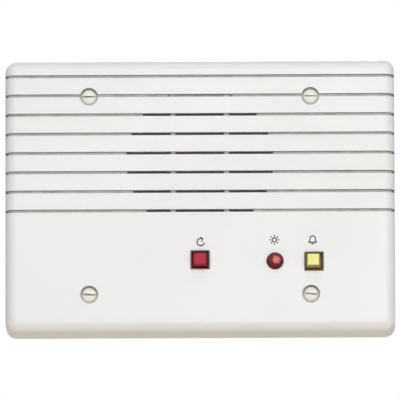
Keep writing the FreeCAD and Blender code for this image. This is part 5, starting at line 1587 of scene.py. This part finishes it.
def buildMagnetGlue(settings):
    # Uneven beads where the magnet meets its two plates.
    chance = random.Random(settings["seed"])
    meshes = []
    for radius, y, bead in settings["magnetBeads"]:
        waves = [(chance.uniform(*settings["waveSizes"]), count, chance.uniform(0, 6.28))
                 for count in settings["beadWaves"]]
        profile = [(radius + bead * math.cos(angle), y + bead * math.sin(angle))
                   for angle in (2 * math.pi * step / 12 for step in range(12))]
        mesh = spinMesh("glueRing", profile, 0.0, speakerZ, 160, closed=True)
        for vertex in mesh.vertices:
            around = math.atan2(vertex.co.z - speakerZ * mm, vertex.co.x)
            swell = 1.0 + sum(size * math.sin(count * around + shift) for size, count, shift in waves)
            across, up = radius * math.cos(around), radius * math.sin(around) + speakerZ
            core = Vector((across * mm, y * mm, up * mm))
            vertex.co = core + (vertex.co - core) * swell
        meshes.append(mesh)
    placeJoined("magnetGlue", meshes, "glueBead", "laminate")


def buildEjectorMarks(settings):
    places = [(x, innerY, z) for x, z in settings["ejectorMarks"]]
    ring = spinMesh("ejectorRing", settings["ejectorRing"], segments=40, closed=True)
    scatter("ejectorMarks", ring, places, "housing", "housing")


def numberMesh(number, settings):
    text = bpy.data.curves.new("number", "FONT")
    text.body = str(number)
    text.size = settings["numberHeight"] * settings["capitalShare"] * mm
    text.extrude = settings["inkHalf"] * mm
    text.align_x = "CENTER"
    text.align_y = "CENTER"
    text.resolution_u = 3
    return evaluatedMesh(linkedObject("number", text))


def buildTerminalNumbers(settings, holes):
    # Plain numbers 1 to 8 over the clamps, read from the rear.
    meshes = []
    level = settings["blockRear"] + settings["inkLift"]
    for step in range(holes["terminals"]):
        mesh = numberMesh(step + 1, settings)
        aside = (holes["terminals"] - 1) / 2 - step
        x = holes["terminal"][0] + aside * holes["terminalPitch"]
        for vertex in mesh.vertices:
            across, up, out = vertex.co
            vertex.co = (x * mm - across, level * mm + out, settings["numberZ"] * mm + up)
        meshes.append(mesh)
    placeJoined("terminalNumbers", meshes, "boardInk", "white_plastic")


addCamera(cameraView)
addSoftLights(softLights)
addRoom(roomLight)
print("camera, lights and floor placed")

dressNodes()
buildMountingScrews(mountingScrew)
print("mounting screws made")
buildGrilleCloth(softRings)
buildFoamRing(softRings)
buildSurround(softRings)
buildSpider(softRings)
print("cloth, foam, surround and spider made")
buildReturnSprings(returnSpring)
print("return springs made")
buildSigns(signs)
print("signs printed")

buildBoardMetal(throughHoles, boardTracks)
buildBoardOutlines(throughHoles, boardPrint)
print("board pads, solder, tracks and outlines made")
buildResistorBands(bandColours, throughHoles)
buildCapacitorDetails(capacitorTops)
print("bands, stripes and vents made")
buildSpeakerLeads(speakerLeads)
buildLugSolder(workmanship)
buildMagnetGlue(workmanship)
buildEjectorMarks(workmanship)
buildTerminalNumbers(workmanship, throughHoles)
print("solder, glue, ejector marks and terminal numbers made")

bpy.context.scene.view_settings.view_transform = "Standard"
